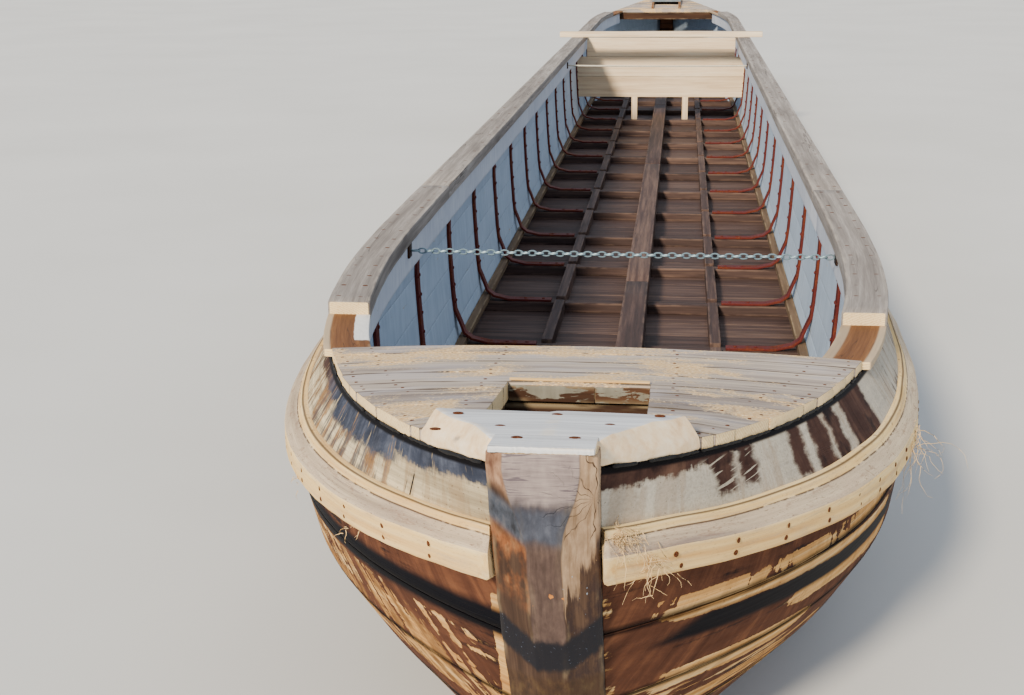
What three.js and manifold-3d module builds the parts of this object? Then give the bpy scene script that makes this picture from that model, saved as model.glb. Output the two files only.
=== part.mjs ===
// A wooden narrowboat, built plank by plank: flat bottom, six strakes a side between stem and
// stern post, iron knees, gunwales, a small deck at each end and a hung rudder.
// Millimetres, +Z up, bow towards -Y. s is the distance aft of the stem's nose.
import * as THREE from 'three';
import { mergeVertices } from 'three/addons/utils/BufferGeometryUtils.js';
import Module from 'manifold-3d';

const wasm = await Module();
wasm.setup();

// Driving dimensions
const HULL_LENGTH = 21100;    // stem nose to the after face of the stern post
const RUDDER_REACH = 780;     // rudder blade behind the stern post
const BOTTOM_THICK = 50;      // bottom boards
const SIDE_TOP = 1034;        // top of the side planking amidships
const PLANK_THICK = 42;       // side planks
const POST_HALF = 104;        // half the width of stem and stern post
const GAP = 0.3;              // between touching pieces
const DECK_LENGTH = 1520;     // each end deck, from the end of the boat
const DECK_THICK = 28;
const DECK_CAMBER = 24;
const POST_DEPTH = 200;       // stem post, fore and aft
const STEM_FOOT = 20;         // set back of its lowest corner
const STERN_POST_DEPTH = 245;
const BLOCK_DEPTH = 400;      // thick timber across the tip of each deck
const BLOCK_THICK = 46;       // its top above the sheer at the post's nose
const BLOCK_FALL = 0.17;      // its top falls away from the post like the sheer
const BLOCK_HALF = 305;       // its ends stop short of the deck's edge
const BLOCK_LIP = 14;         // what of it lies over the head of the post
const CAP_START = 2035;       // gunwale cap ends short of the deck
const CAP_JOINT = 4400;       // butt between the curved end lengths of cap and inwale and the straight one
const CAP_THICK = 66;
const CAP_OUT = 24;           // cap overhang outside the planking
const CAP_WIDTH = 140;
const UNDER_CAP_THICK = 24;
const INWALE_THICK = 48;
const INWALE_HEIGHT = 143;
const KNEE_SPACING = 960;
const KNEE_FIRST = 3130;
const KNEE_COUNT = 16;
// Lengths of the chine iron, each with its own knees: name, first knee, one past the last
const KNEE_LENGTHS = [['bow', 0, 2], ['mid', 2, 13], ['stern', 13, KNEE_COUNT]];
const KNEE_THICK = 14;
const TIMBER_HEIGHT = 60;
const KEELSON_HEIGHT = 150;
const HATCH = { from: 450, to: 1005, halfWidth: 180 };
const BULKHEAD = { at: 14790, low: 365, high: 1055, leg: 300 };
const CROSS_BEAM_AT = 14300;
const CHAIN_AT = 3430;
const ROPE_AT = 12110;

const TOTAL = HULL_LENGTH + RUDDER_REACH;
const yAt = (s) => s - TOTAL / 2;
const mix = (a, b, t) => a + (b - a) * t;
const clamp01 = (t) => Math.min(1, Math.max(0, t));

// rake: how far the foot of the post lies behind its head; setBack: planking behind the post's
// face; rise: lift of the sheer
const ENDS = {
  bow: { key: 'bow', rake: 855, rakePower: 1.45, setBack: 90, rise: 320 },
  stern: { key: 'stern', rake: 0, rakePower: 1, setBack: 90, rise: 240 },
};
const SHEER_RUN = 4000;
const SHEER_POWER = 3.5;
// Form of the side, a row for each edge of a strake from the chine up. share: part of the side's
// height; beam: half-breadth amidships; bow, stern: length of the curved entry and its power
const SEAM_FORM = [
  { share: 0, beam: 970, bow: [4600, 2.4], stern: [5700, 2.6] },
  { share: 0.17, beam: 998, bow: [3700, 2.9], stern: [5000, 2.9] },
  { share: 0.34, beam: 1016, bow: [3200, 3.2], stern: [4300, 3.1] },
  { share: 0.5, beam: 1026, bow: [3200, 3.6], stern: [3900, 3.4] },
  { share: 0.684, beam: 1035, bow: [3600, 4.0], stern: [3900, 3.8] },
  { share: 0.84, beam: 1031, bow: [3900, 4.0], stern: [3900, 4.0] },
  { share: 1, beam: 988, bow: [3900, 3.0], stern: [3900, 3.0] },
];
const SEAMS = SEAM_FORM.map((row) => row.share);
const UPPER_SEAM = SEAMS[SEAMS.length - 2];
const SECOND_SEAM = SEAMS[SEAMS.length - 3];

// Stations as distances from the post's planking line, closer together where the side curves
const STATIONS = [0, 12, 40, 90, 160, 260, 400, 600, 850, 1200, 1600, 2050, 2550, 3100, 3750, 4500, 5400];
const END_RUN = STATIONS[STATIONS.length - 1];

const endOf = (s) => (s < HULL_LENGTH / 2 ? ENDS.bow : ENDS.stern);
const fromEnd = (s) => (s < HULL_LENGTH / 2 ? s : HULL_LENGTH - s);
const sheer = (s) => SIDE_TOP + endOf(s).rise * Math.pow(clamp01(1 - fromEnd(s) / SHEER_RUN), SHEER_POWER);
const alongHull = (endName, d) => (endName === 'bow' ? d : HULL_LENGTH - d);
const postFace = (end, w) => end.rake * Math.pow(1 - w, end.rakePower);
const plankStart = (end, w) => postFace(end, w) + end.setBack;

// Outside of the planking, as a half-breadth, at distance d from the end of the boat
function breadth(end, w, d) {
  const i = Math.max(1, SEAMS.findIndex((share) => share >= w - 1e-9));
  const [low, high] = [SEAM_FORM[i - 1], SEAM_FORM[i]].map((row) => {
    const [run, power] = row[end.key];
    const t = clamp01((d - plankStart(end, w)) / run);
    return POST_HALF + GAP + (row.beam - POST_HALF - GAP) * (1 - Math.pow(1 - t, power));
  });
  return mix(low, high, (w - SEAMS[i - 1]) / (SEAMS[i] - SEAMS[i - 1]));
}

// Point of the planking's outside, moved inwards by inset along the plan normal
function skinPoint(end, w, u, inset) {
  const start = plankStart(end, w);
  const d = start + u * (END_RUN - start) / END_RUN;
  const x = breadth(end, w, d);
  const step = 2;
  const slope = (breadth(end, w, d + step) - breadth(end, w, Math.max(start, d - step)))
    / (d + step - Math.max(start, d - step));
  const length = Math.hypot(1, slope);
  const nx = u === 0 ? 0 : 1 / length;
  const nd = u === 0 ? 1 : slope / length;
  return { x: x - inset * nx, d: d + inset * nd };
}

// The inset line starts where it meets the post's side
const insetStart = new Map();
function startOfInset(endName, w, inset) {
  const key = `${endName} ${w} ${inset}`;
  if (!insetStart.has(key)) {
    let low = 0.01;
    let high = 900;
    for (let i = 0; i < 50; i += 1) {
      const u = (low + high) / 2;
      if (skinPoint(ENDS[endName], w, u, inset).x < POST_HALF + GAP) low = u; else high = u;
    }
    insetStart.set(key, high);
  }
  return insetStart.get(key);
}

// One side's line at height share w and given inset, from bow to stern: [{x, s, z}]
function sideLine(w, inset, stations = STATIONS) {
  const line = [];
  for (const endName of ['bow', 'stern']) {
    const end = ENDS[endName];
    const half = stations.map((u) => {
      const outer = skinPoint(end, w, u, 0);
      let p = outer;
      if (inset > 0) {
        const u0 = startOfInset(endName, w, inset);
        p = skinPoint(end, w, u0 + u * (END_RUN - u0) / END_RUN, inset);
        if (u === 0) p = { x: POST_HALF + GAP, d: p.d };
      } else if (inset < 0) {
        p = skinPoint(end, w, u, inset);
      }
      const s = alongHull(endName, p.d);
      return { x: p.x, s, z: mix(BOTTOM_THICK, sheer(s), w) };
    });
    line.push(...(endName === 'bow' ? half : half.reverse()));
  }
  return line;
}

// Solids
function signedVolume(position, index) {
  let v = 0;
  const a = new THREE.Vector3();
  const b = new THREE.Vector3();
  const c = new THREE.Vector3();
  for (let i = 0; i < index.length; i += 3) {
    a.fromArray(position, 3 * index[i]);
    b.fromArray(position, 3 * index[i + 1]);
    c.fromArray(position, 3 * index[i + 2]);
    v += a.dot(b.cross(c)) / 6;
  }
  return v;
}

// Closed body through rings of equal length
function loft(rings) {
  const n = rings[0].length;
  const position = rings.flat(2);
  const index = [];
  for (let r = 0; r + 1 < rings.length; r += 1) {
    for (let i = 0; i < n; i += 1) {
      const a = r * n + i;
      const b = r * n + (i + 1) % n;
      // Both faces of a seam are split along the same diagonal
      if (i < n / 2) index.push(a, b, b + n, a, b + n, a + n);
      else index.push(a, b, a + n, b, b + n, a + n);
    }
  }
  const last = (rings.length - 1) * n;
  const caps = [rings[0], rings[rings.length - 1]]
    .map((r) => THREE.ShapeUtils.triangulateShape(flatten(r), []));
  for (const f of caps[0]) index.push(f[0], f[2], f[1]);
  for (const f of caps[1]) index.push(last + f[0], last + f[1], last + f[2]);
  return closeUp(position, index);
}

// A ring laid out in the plane that it fills most, kept in its own turning sense
function flatten(ring) {
  const n = [0, 0, 0];
  ring.forEach((p, i) => {
    const q = ring[(i + 1) % ring.length];
    n[0] += (p[1] - q[1]) * (p[2] + q[2]);
    n[1] += (p[2] - q[2]) * (p[0] + q[0]);
    n[2] += (p[0] - q[0]) * (p[1] + q[1]);
  });
  const k = n.map(Math.abs).indexOf(Math.max(...n.map(Math.abs)));
  const [i, j] = [[1, 2], [2, 0], [0, 1]][k];
  return ring.map((p) => new THREE.Vector2(n[k] > 0 ? p[i] : -p[i], p[j]));
}

function closeUp(position, index) {
  if (signedVolume(position, index) < 0) {
    for (let i = 0; i < index.length; i += 3) [index[i + 1], index[i + 2]] = [index[i + 2], index[i + 1]];
  }
  const g = new THREE.BufferGeometry();
  g.setAttribute('position', new THREE.Float32BufferAttribute(position, 3));
  g.setIndex(index);
  return g;
}

// Outline [[s, z], ...] in the boat's side view, between two x
function sideShape(outline, x0, x1) {
  return loft([x0, x1].map((x) => outline.map(([s, z]) => [x, yAt(s), z])));
}

// Outline [[x, z], ...] in the boat's cross section, between two s
function crossShape(outline, s0, s1) {
  return loft([s0, s1].map((s) => outline.map(([x, z]) => [x, yAt(s), z])));
}

const box = (x0, x1, s0, s1, z0, z1) => crossShape([[x0, z0], [x1, z0], [x1, z1], [x0, z1]], s0, s1);

function toManifold(geometry) {
  const g = geometry.clone();
  g.deleteAttribute('normal');
  g.deleteAttribute('uv');
  const m = mergeVertices(g, 1e-4);
  return new wasm.Manifold(new wasm.Mesh({
    numProp: 3,
    vertProperties: Float32Array.from(m.attributes.position.array),
    triVerts: Uint32Array.from(m.index.array),
  }));
}

function fromManifold(body) {
  const mesh = body.getMesh();
  const g = new THREE.BufferGeometry();
  g.setAttribute('position', new THREE.Float32BufferAttribute(mesh.vertProperties, 3));
  g.setIndex([...mesh.triVerts]);
  return g;
}

const joined = (parts) => fromManifold(parts.map(toManifold).reduce((a, b) => a.add(b)));
const cut = (part, tools) => fromManifold(tools.map(toManifold)
  .reduce((a, b) => a.subtract(b), toManifold(part)));
const common = (a, b) => fromManifold(toManifold(a).intersect(toManifold(b)));

// The space inside the planking, kept GAP clear of a lining of the given thickness
function interior(lining) {
  const lines = SEAMS.map((w) => sideLine(w, lining + GAP));
  const top = 1200;
  return loft(lines[0].map((_, i) => {
    const right = lines.map((line) => [line[i].x, yAt(line[i].s), line[i].z]);
    const left = right.map(([x, y, z]) => [-x, y, z]).reverse();
    const lift = ([x, y, z]) => [x, y, z + top];
    return [...right, lift(right[right.length - 1]), lift(left[0]), ...left];
  }));
}

// Strip along one side: section corners as [w, inset, dz]
function strip(corners, side, keep = () => true, stations = STATIONS) {
  const lines = corners.map(([w, inset, dz]) => sideLine(w, inset, stations)
    .map((p) => ({ ...p, z: p.z + dz })));
  const rings = [];
  lines[0].forEach((p, i) => {
    if (keep(p.s)) rings.push(lines.map((line) => [side * line[i].x, yAt(line[i].s), line[i].z]));
  });
  return loft(rings);
}

// The upper strakes of one side, grown by GAP: pieces that lie on them are cut to fit
const upperSide = (side) => strip([[SECOND_SEAM, -GAP, 0], [UPPER_SEAM, -GAP, 0], [1, -GAP, GAP],
  [1, PLANK_THICK + GAP, GAP], [UPPER_SEAM, PLANK_THICK + GAP, 0],
  [SECOND_SEAM, PLANK_THICK + GAP, 0]], side);
// The same top edge, wider, for what lies across it
const sheerEdge = (side) => strip([[UPPER_SEAM, -8, 0], [1, -8, GAP],
  [1, PLANK_THICK + 8, GAP], [UPPER_SEAM, PLANK_THICK + 8, 0]], side);
const onSheer = (part) => cut(part, [sheerEdge(-1), sheerEdge(1)]);

// Strip between two distances aft, along the top edge of the planking
function railStrip(s0, s1, outside, inside, zLow, zHigh, side) {
  const cuts = [s0, ...railStations.filter((s) => s > s0 + 5 && s < s1 - 5), s1];
  return loft(cuts.map((s) => {
    const end = endOf(s);
    const d = fromEnd(s);
    const slope = (breadth(end, 1, d + 2) - breadth(end, 1, d - 2)) / 4;
    const length = Math.hypot(1, slope);
    const at = (inset) => side * (breadth(end, 1, d) - inset * length);
    const z = sheer(s);
    return [[at(outside), z + zLow], [at(outside), z + zHigh], [at(inside), z + zHigh], [at(inside), z + zLow]]
      .map(([x, h]) => [x, yAt(s), h]);
  }));
}
const railStations = [];
for (const d of [1650, 1870, CAP_START, 2350, 2650, 3000, 3400, 3900, CAP_JOINT]) {
  railStations.push(d, HULL_LENGTH - d);
}
railStations.sort((a, b) => a - b);

// Colours by material
const FINISH = {
  tarredWood: [0x2b2523, 0.75], weatheredWood: [0x8a7c6e, 0.85], freshWood: [0xd8bd92, 0.8],
  deckWood: [0x9a9a94, 0.85], redIron: [0x6a2a22, 0.6], darkIron: [0x35302d, 0.6], rope: [0xd9d2c0, 0.95],
  paintedWood: [0x8d99a6, 0.8],
};
const boat = new THREE.Group();
boat.name = 'narrowboat';
function node(name, geometry, finish) {
  const [color, roughness] = FINISH[finish];
  const mesh = new THREE.Mesh(geometry, new THREE.MeshStandardMaterial({ color, roughness }));
  mesh.name = name;
  boat.add(mesh);
}

const SIDES = [['left', -1], ['right', 1]];

// Bottom and strakes
{
  const line = sideLine(0, 0);
  const sternNotch = HULL_LENGTH - STERN_POST_DEPTH - GAP;
  const bowNotch = postFace(ENDS.bow, 0) + STEM_FOOT + POST_DEPTH + GAP;
  const right = line.map((p) => [p.x, p.s]);
  const outline = [[POST_HALF + GAP, bowNotch], ...right, [POST_HALF + GAP, sternNotch]];
  const all = [...outline, ...outline.map(([x, s]) => [-x, s]).reverse()];
  node('bottom_boards', loft([0, BOTTOM_THICK - GAP].map((z) => all.map(([x, s]) => [x, yAt(s), z]))),
    'tarredWood');
}
for (const [sideName, side] of SIDES) {
  for (let i = 0; i + 1 < SEAMS.length; i += 1) {
    const low = SEAMS[i];
    const high = SEAMS[i + 1];
    const rise = i === 0 ? 0 : GAP / 2;
    const drop = i + 2 === SEAMS.length ? 0 : -GAP / 2;
    node(`${sideName}_strake_${i + 1}`, strip([[low, 0, rise], [high, 0, drop],
      [high, PLANK_THICK, drop], [low, PLANK_THICK, rise]], side), 'tarredWood');
  }
}

// Stem and stern post
// columns: height share, nose half-width, depth of the chamfer
const STEM_ROWS = [[0, 32, 43], [0.17, 32, 43], [0.34, 32, 43], [0.5, 32, 43], [0.684, 32, 43], [0.84, 32, 43],
  [0.9, 38, 41], [0.96, 58, 30]];
function stemPost(grow) {
  const half = POST_HALF + grow;
  const ring = (z, face, nose, chamfer, fall = 0) => [[-half, face + chamfer], [-nose, face - grow],
    [nose, face - grow], [half, face + chamfer], [half, face + POST_DEPTH + grow],
    [-half, face + POST_DEPTH + grow]].map(([x, s]) => [x, yAt(s), z - fall * s]);
  const rings = STEM_ROWS.map(([w, nose, chamfer]) => ring(mix(BOTTOM_THICK, SIDE_TOP + ENDS.bow.rise, w),
    postFace(ENDS.bow, w), nose, chamfer));
  rings.unshift(ring(-grow, postFace(ENDS.bow, 0) + STEM_FOOT, 32, 43));
  rings.push(ring(SIDE_TOP + ENDS.bow.rise + BLOCK_THICK - BLOCK_LIP + grow, 0, 70, 24, BLOCK_FALL));
  return loft(rings);
}
function sternPost(grow) {
  const top = SIDE_TOP + ENDS.stern.rise + BLOCK_THICK - BLOCK_LIP + grow;
  const [rear, front] = [HULL_LENGTH + grow, HULL_LENGTH - STERN_POST_DEPTH - grow];
  return sideShape([[front, 0], [rear, 0], [rear, top], [front, top - BLOCK_FALL * (rear - front)]],
    -POST_HALF - grow, POST_HALF + grow);
}
node('stem_post', stemPost(0), 'tarredWood');
const HINGE = { s: HULL_LENGTH + 43, pin: 12, eye: 18, ring: 32, levels: [480, 1010], height: 60 };
{
  const post = sternPost(0);
  const heel = box(-45, 45, HULL_LENGTH - 20, HULL_LENGTH + 95, 0, 60);
  const parts = [post, heel];
  for (const z of HINGE.levels) {
    const tube = new THREE.CylinderGeometry(HINGE.ring, HINGE.ring, 40, 16);
    tube.rotateX(Math.PI / 2);
    tube.translate(0, yAt(HINGE.s), z + HINGE.height / 2);
    const bore = new THREE.CylinderGeometry(HINGE.eye + 1, HINGE.eye + 1, 80, 16);
    bore.rotateX(Math.PI / 2);
    bore.translate(0, yAt(HINGE.s), z + HINGE.height / 2);
    const arm = box(-22, 22, HULL_LENGTH - 10, HINGE.s, z + 10, z + 50);
    parts.push(cut(joined([tube, arm]), [bore]));
  }
  node('stern_post', joined(parts), 'tarredWood');
}

// Guards
// columns: inset from the planking (negative is outside), height above the sheer
const GUARD_SECTION = [[6, -128], [-17, -131], [-17, -152], [-46, -185], [-46, -252], [6, -252]];
const guardStations = STATIONS.filter((u) => u <= 3800);
for (const [sideName, side] of SIDES) {
  for (const endName of ['bow', 'stern']) {
    const rings = guardStations.map((u) => {
      const top = sheer(alongHull(endName, skinPoint(ENDS[endName], 1, u, 0).d));
      return GUARD_SECTION.map(([inset, dz]) => {
        const p = skinOnFacets(endName, 1 + dz / (top - BOTTOM_THICK), u, inset);
        return [side * p.x, yAt(alongHull(endName, p.d)), p.z];
      });
    });
    node(`${sideName}_${endName}_guard`, cut(loft(rings), [upperSide(side)]), 'freshWood');
  }
}
// Point on the flat facets between two strake edges, moved outwards
function skinOnFacets(endName, w, u, inset) {
  const end = ENDS[endName];
  const i = Math.max(1, SEAMS.findIndex((edge) => edge >= w));
  const [a, b] = [SEAMS[i - 1], SEAMS[i]].map((edge) => ({
    ...skinPoint(end, edge, u, inset),
    z: mix(BOTTOM_THICK, sheer(alongHull(endName, skinPoint(end, edge, u, 0).d)), edge),
  }));
  const t = (w - SEAMS[i - 1]) / (SEAMS[i] - SEAMS[i - 1]);
  return { x: mix(a.x, b.x, t), d: mix(a.d, b.d, t), z: mix(a.z, b.z, t) };
}

// Gunwales
const INWALE_ENDS = [DECK_LENGTH + 60, HULL_LENGTH - DECK_LENGTH - 60];
const inwaleBlank = (side, grow, [s0, s1] = INWALE_ENDS) => railStrip(s0, s1,
  PLANK_THICK - 20, PLANK_THICK + INWALE_THICK + grow, -INWALE_HEIGHT - grow, grow, side);
const betweenInwales = (part) => cut(common(part, interior(PLANK_THICK)),
  [inwaleBlank(-1, GAP), inwaleBlank(1, GAP)]);
for (const [sideName, side] of SIDES) {
  const rail = (name, s0, s1, thick) => node(`${sideName}_${name}`,
    onSheer(railStrip(s0, s1, -CAP_OUT, CAP_WIDTH - CAP_OUT, GAP, thick, side)), 'weatheredWood');
  const inwale = (name, s0, s1) => node(`${sideName}_${name}`,
    common(inwaleBlank(side, 0, [s0, s1]), interior(PLANK_THICK)), 'paintedWood');
  const aft = (d) => HULL_LENGTH - d;
  rail('bow_cap', CAP_START, CAP_JOINT - GAP / 2, CAP_THICK);
  rail('mid_cap', CAP_JOINT + GAP / 2, aft(CAP_JOINT) - GAP / 2, CAP_THICK);
  rail('stern_cap', aft(CAP_JOINT) + GAP / 2, aft(CAP_START), CAP_THICK);
  rail('bow_undercap', DECK_LENGTH + GAP, CAP_START - GAP, UNDER_CAP_THICK);
  rail('stern_undercap', aft(CAP_START) + GAP, aft(DECK_LENGTH) - GAP, UNDER_CAP_THICK);
  inwale('bow_inwale', INWALE_ENDS[0], CAP_JOINT - GAP / 2);
  inwale('mid_inwale', CAP_JOINT + GAP / 2, aft(CAP_JOINT) - GAP / 2);
  inwale('stern_inwale', aft(CAP_JOINT) + GAP / 2, INWALE_ENDS[1]);
}

// Floor frames and knees
const floorTop = BOTTOM_THICK + TIMBER_HEIGHT;
{
  const parts = [box(-70, 70, 1600, HULL_LENGTH - 1600, BOTTOM_THICK, BOTTOM_THICK + KEELSON_HEIGHT)];
  for (let i = 0; i < KNEE_COUNT; i += 1) {
    const s = KNEE_FIRST + i * KNEE_SPACING;
    parts.push(box(-1100, 1100, s - 40, s + 40, BOTTOM_THICK, floorTop));
  }
  for (const x of [-460, 460]) {
    parts.push(box(x - 30, x + 30, KNEE_FIRST - 60, KNEE_FIRST + (KNEE_COUNT - 1) * KNEE_SPACING + 60,
      BOTTOM_THICK, floorTop + 22));
  }
  node('floor_frames', common(joined(parts), interior(PLANK_THICK)), 'darkIron');
}
const kneeShell = cut(interior(PLANK_THICK), [interior(PLANK_THICK + KNEE_THICK)]);
const kneeAt = (i) => KNEE_FIRST + i * KNEE_SPACING;
// One iron knee: its strap up the planking is cut from the shell, its foot lies on the cross timber
function knee(s, side, z0) {
  const [x0, x1] = [side * 200, side * 1150].sort((a, b) => a - b);
  const strap = box(x0, x1, s - 32, s + 32, z0, Math.min(sheer(s - 32), sheer(s + 32)) - INWALE_HEIGHT - GAP);
  const x = breadth(endOf(s), 0.1, fromEnd(s)) - PLANK_THICK;
  const armEnd = Math.max(x - 430, 500);
  const outline = [[x + 60, z0], [x + 60, z0 + 190], [x, z0 + 190], [x - 30, z0 + 75], [x - 75, z0 + 30],
    [x - 170, z0 + KNEE_THICK], [armEnd, z0 + KNEE_THICK], [armEnd, z0]];
  return { strap, foot: crossShape(outline.map(([px, pz]) => [side * px, pz]), s - 32, s + 32) };
}
for (const [sideName, side] of SIDES) {
  const z0 = floorTop + GAP;
  const xAt = (s) => breadth(endOf(s), 0.1, fromEnd(s));
  for (const [lengthName, from, to] of KNEE_LENGTHS) {
    const first = from === 0 ? kneeAt(0) - 60 : kneeAt(from) - (KNEE_SPACING - GAP) / 2;
    const last = to === KNEE_COUNT ? kneeAt(to - 1) + 60 : kneeAt(to - 1) + (KNEE_SPACING - GAP) / 2;
    const stations = [first, ...railStations.filter((s) => s > first + 5 && s < last - 5), last];
    const stringer = loft(stations.map((s) => [[xAt(s) + 30, z0], [xAt(s) + 30, z0 + 42],
      [xAt(s) - PLANK_THICK - 50, z0 + 42], [xAt(s) - PLANK_THICK - 50, z0]]
      .map(([x, z]) => [side * x, yAt(s), z])));
    const knees = [];
    for (let i = from; i < to; i += 1) knees.push(knee(kneeAt(i), side, z0));
    const straps = common(kneeShell, joined(knees.map((k) => k.strap)));
    node(`${sideName}_${lengthName}_knees`,
      common(joined([stringer, ...knees.map((k) => k.foot), straps]), interior(PLANK_THICK)), 'redIron');
  }
}

// Decks
const deckStations = [BLOCK_DEPTH, 480, 600, 760, 950, 1200, DECK_LENGTH];
function deckSlab(atStern) {
  const end = atStern ? ENDS.stern : ENDS.bow;
  const place = (d) => (atStern ? HULL_LENGTH - d : d);
  return loft(deckStations.map((d) => {
    const half = breadth(end, 1, d);
    const z = sheer(place(d));
    const top = [-1, -0.66, -0.33, 0, 0.33, 0.66, 1]
      .map((t) => [t * half, z + DECK_THICK + DECK_CAMBER * (1 - t * t)]);
    return [[half, z + GAP], ...top.reverse(), [-half, z + GAP]].map(([x, h]) => [x, yAt(place(d)), h]);
  }));
}
function deckBlock(atStern) {
  const end = atStern ? ENDS.stern : ENDS.bow;
  const place = (d) => (atStern ? HULL_LENGTH - d : d);
  const topAt = (d) => SIDE_TOP + end.rise + BLOCK_THICK - BLOCK_FALL * d;
  const main = loft([end.setBack + 6, 110, 140, 180, 240, 310, BLOCK_DEPTH - GAP].map((d) => {
    const half = Math.min(breadth(end, 1, d), BLOCK_HALF);
    const z = sheer(place(d));
    const inset = Math.min(34, 0.4 * (half - POST_HALF) + 2);
    const outline = [[half, z + GAP], [half, z + 24], [half - inset, topAt(d)]];
    return [...outline, ...outline.map(([x, h]) => [-x, h]).reverse()].map(([x, h]) => [x, yAt(place(d)), h]);
  }));
  const [d0, d1] = [2, end.setBack + 20];
  const lip = sideShape([[d0, GAP - BLOCK_LIP], [d1, GAP - BLOCK_LIP], [d1, 0], [d0, 0]]
    .map(([d, dz]) => [place(d), topAt(d) + dz]), -POST_HALF + 8, POST_HALF - 8);
  return cut(joined([main, lip]), [atStern ? sternPost(GAP) : stemPost(GAP)]);
}
const RAIL = { from: 415, to: 1490, lift: 28, width: 32 };
const RAIL_Z = [RAIL.from, RAIL.to]
  .map((d) => sheer(HULL_LENGTH - d) + DECK_THICK + DECK_CAMBER + RAIL.lift);
{
  const hole = box(-HATCH.halfWidth, HATCH.halfWidth, HATCH.from, HATCH.to, 900, 1500);
  node('fore_deck', onSheer(cut(deckSlab(false), [hole])), 'deckWood');
  node('fore_deck_block', onSheer(deckBlock(false)), 'freshWood');
  const sternHole = box(-HATCH.halfWidth, HATCH.halfWidth, HULL_LENGTH - HATCH.to, HULL_LENGTH - HATCH.from,
    900, 1500);
  const rails = SIDES.map(([, side]) => {
    const x0 = side * (HATCH.halfWidth + 4);
    const x1 = side * (HATCH.halfWidth + 4 + RAIL.width);
    return sideShape([[HULL_LENGTH - RAIL.from, RAIL_Z[0]], [HULL_LENGTH - RAIL.to, RAIL_Z[1]],
      [HULL_LENGTH - RAIL.to, RAIL_Z[1] - 60], [HULL_LENGTH - RAIL.from, RAIL_Z[0] - 60]], x0, x1);
  });
  node('stern_deck', joined([onSheer(cut(deckSlab(true), [sternHole])), ...rails]), 'deckWood');
  node('stern_deck_block', onSheer(deckBlock(true)), 'freshWood');
  // Lid of the stern locker, sliding forward on its rails
  const lidTop = 30;
  const slope = (RAIL_Z[0] - RAIL_Z[1]) / (RAIL.to - RAIL.from);
  const zRail = (d) => RAIL_Z[0] - slope * (d - RAIL.from);
  const lid = [[RAIL.from + 10, 0], [HATCH.to + 25, 0], [HATCH.to + 25, lidTop], [RAIL.from + 10, lidTop]]
    .map(([d, dz]) => [HULL_LENGTH - d, zRail(d) + GAP + dz]);
  const lidHalf = HATCH.halfWidth + RAIL.width + 4;
  node('stern_hatch_lid', sideShape(lid, -lidHalf, lidHalf), 'paintedWood');
}

// Beams under a deck: columns are distance from the end and depth; carlings run beside the hatch
const DECK_BEAMS = [[HATCH.to + 45, 90], [DECK_LENGTH - 48, 100]];
for (const [name, atStern] of [['fore_deck_beams', false], ['stern_deck_beams', true]]) {
  const place = (d) => (atStern ? HULL_LENGTH - d : d);
  const ordered = (a, b) => [Math.min(place(a), place(b)), Math.max(place(a), place(b))];
  const parts = DECK_BEAMS.map(([d, deep]) => {
    const [s0, s1] = ordered(d - 38, d + 38);
    const top = sheer(place(d + 38));
    return box(-1000, 1000, s0, s1, top - deep, top);
  });
  const [f0, f1] = ordered(HATCH.from - 40, HATCH.from + 30);
  const frontTop = sheer(place(HATCH.from + 30));
  parts.push(box(-1000, 1000, f0, f1, frontTop - 90, frontTop));
  for (const [, side] of SIDES) {
    const x0 = side * (HATCH.halfWidth + 8);
    const x1 = side * (HATCH.halfWidth + 68);
    const [rear, last] = DECK_BEAMS.map(([d]) => d);
    const tops = [[HATCH.from, frontTop - 10], [740, sheer(place(760)) - 10],
      [rear, sheer(place(rear + 38)) - 2], [last, sheer(place(last + 38)) - 2]];
    const outline = [...tops, ...tops.map(([d, z]) => [d, z - 65]).reverse()];
    parts.push(sideShape(outline.map(([d, z]) => [place(d), z]), x0, x1));
  }
  node(name, common(joined(parts), interior(PLANK_THICK)), 'weatheredWood');
}
{
  const beamFront = HATCH.to + 45 - 38;
  const top = sheer(beamFront + 76);
  const half = HATCH.halfWidth + 60;
  node('hatch_board', box(-half, half, beamFront - GAP - 27, beamFront - GAP, top - 350, top - 75),
    'paintedWood');
}

// Across the hold
{
  const beamZ = SIDE_TOP + CAP_THICK + GAP;
  node('cross_beam', box(-1150, 1150, CROSS_BEAM_AT - 60, CROSS_BEAM_AT + 60, beamZ, beamZ + 60),
    'freshWood');
  const board = (x0, x1, z0, z1) => box(x0, x1, BULKHEAD.at - 20, BULKHEAD.at + 20, z0, z1);
  const legs = SIDES.map(([, side]) => board(side * BULKHEAD.leg - 35, side * BULKHEAD.leg + 35,
    BOTTOM_THICK, BULKHEAD.low + 10));
  const reach = SEAM_FORM[SEAM_FORM.length - 1].beam + CAP_OUT - CAP_WIDTH - 4;
  const planks = [board(-1100, 1100, BULKHEAD.low, SIDE_TOP - 1),
    board(-reach, reach, SIDE_TOP - 20, BULKHEAD.high)];
  node('hold_bulkhead', betweenInwales(joined([...planks, ...legs])), 'freshWood');
  // columns: name, s, height, radius, finish
  const ties = [['bow_chain', CHAIN_AT, 990, 11, 'darkIron'], ['mid_rope', ROPE_AT, 975, 10, 'rope']];
  for (const [name, s, z, radius, finish] of ties) {
    const edge = breadth(endOf(s), 1, fromEnd(s)) - PLANK_THICK - INWALE_THICK;
    const tube = new THREE.CylinderGeometry(radius, radius, 2 * edge + 40, 8);
    tube.rotateZ(Math.PI / 2);
    tube.translate(0, yAt(s), z);
    const plates = SIDES.map(([, side]) => {
      const [x0, x1] = [side * (edge - 12), side * (edge + 20)].sort((a, b) => a - b);
      return box(x0, x1, s - 30, s + 30, z - 30, z + 30);
    });
    node(name, betweenInwales(joined([tube, ...plates])), finish);
  }
}

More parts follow.
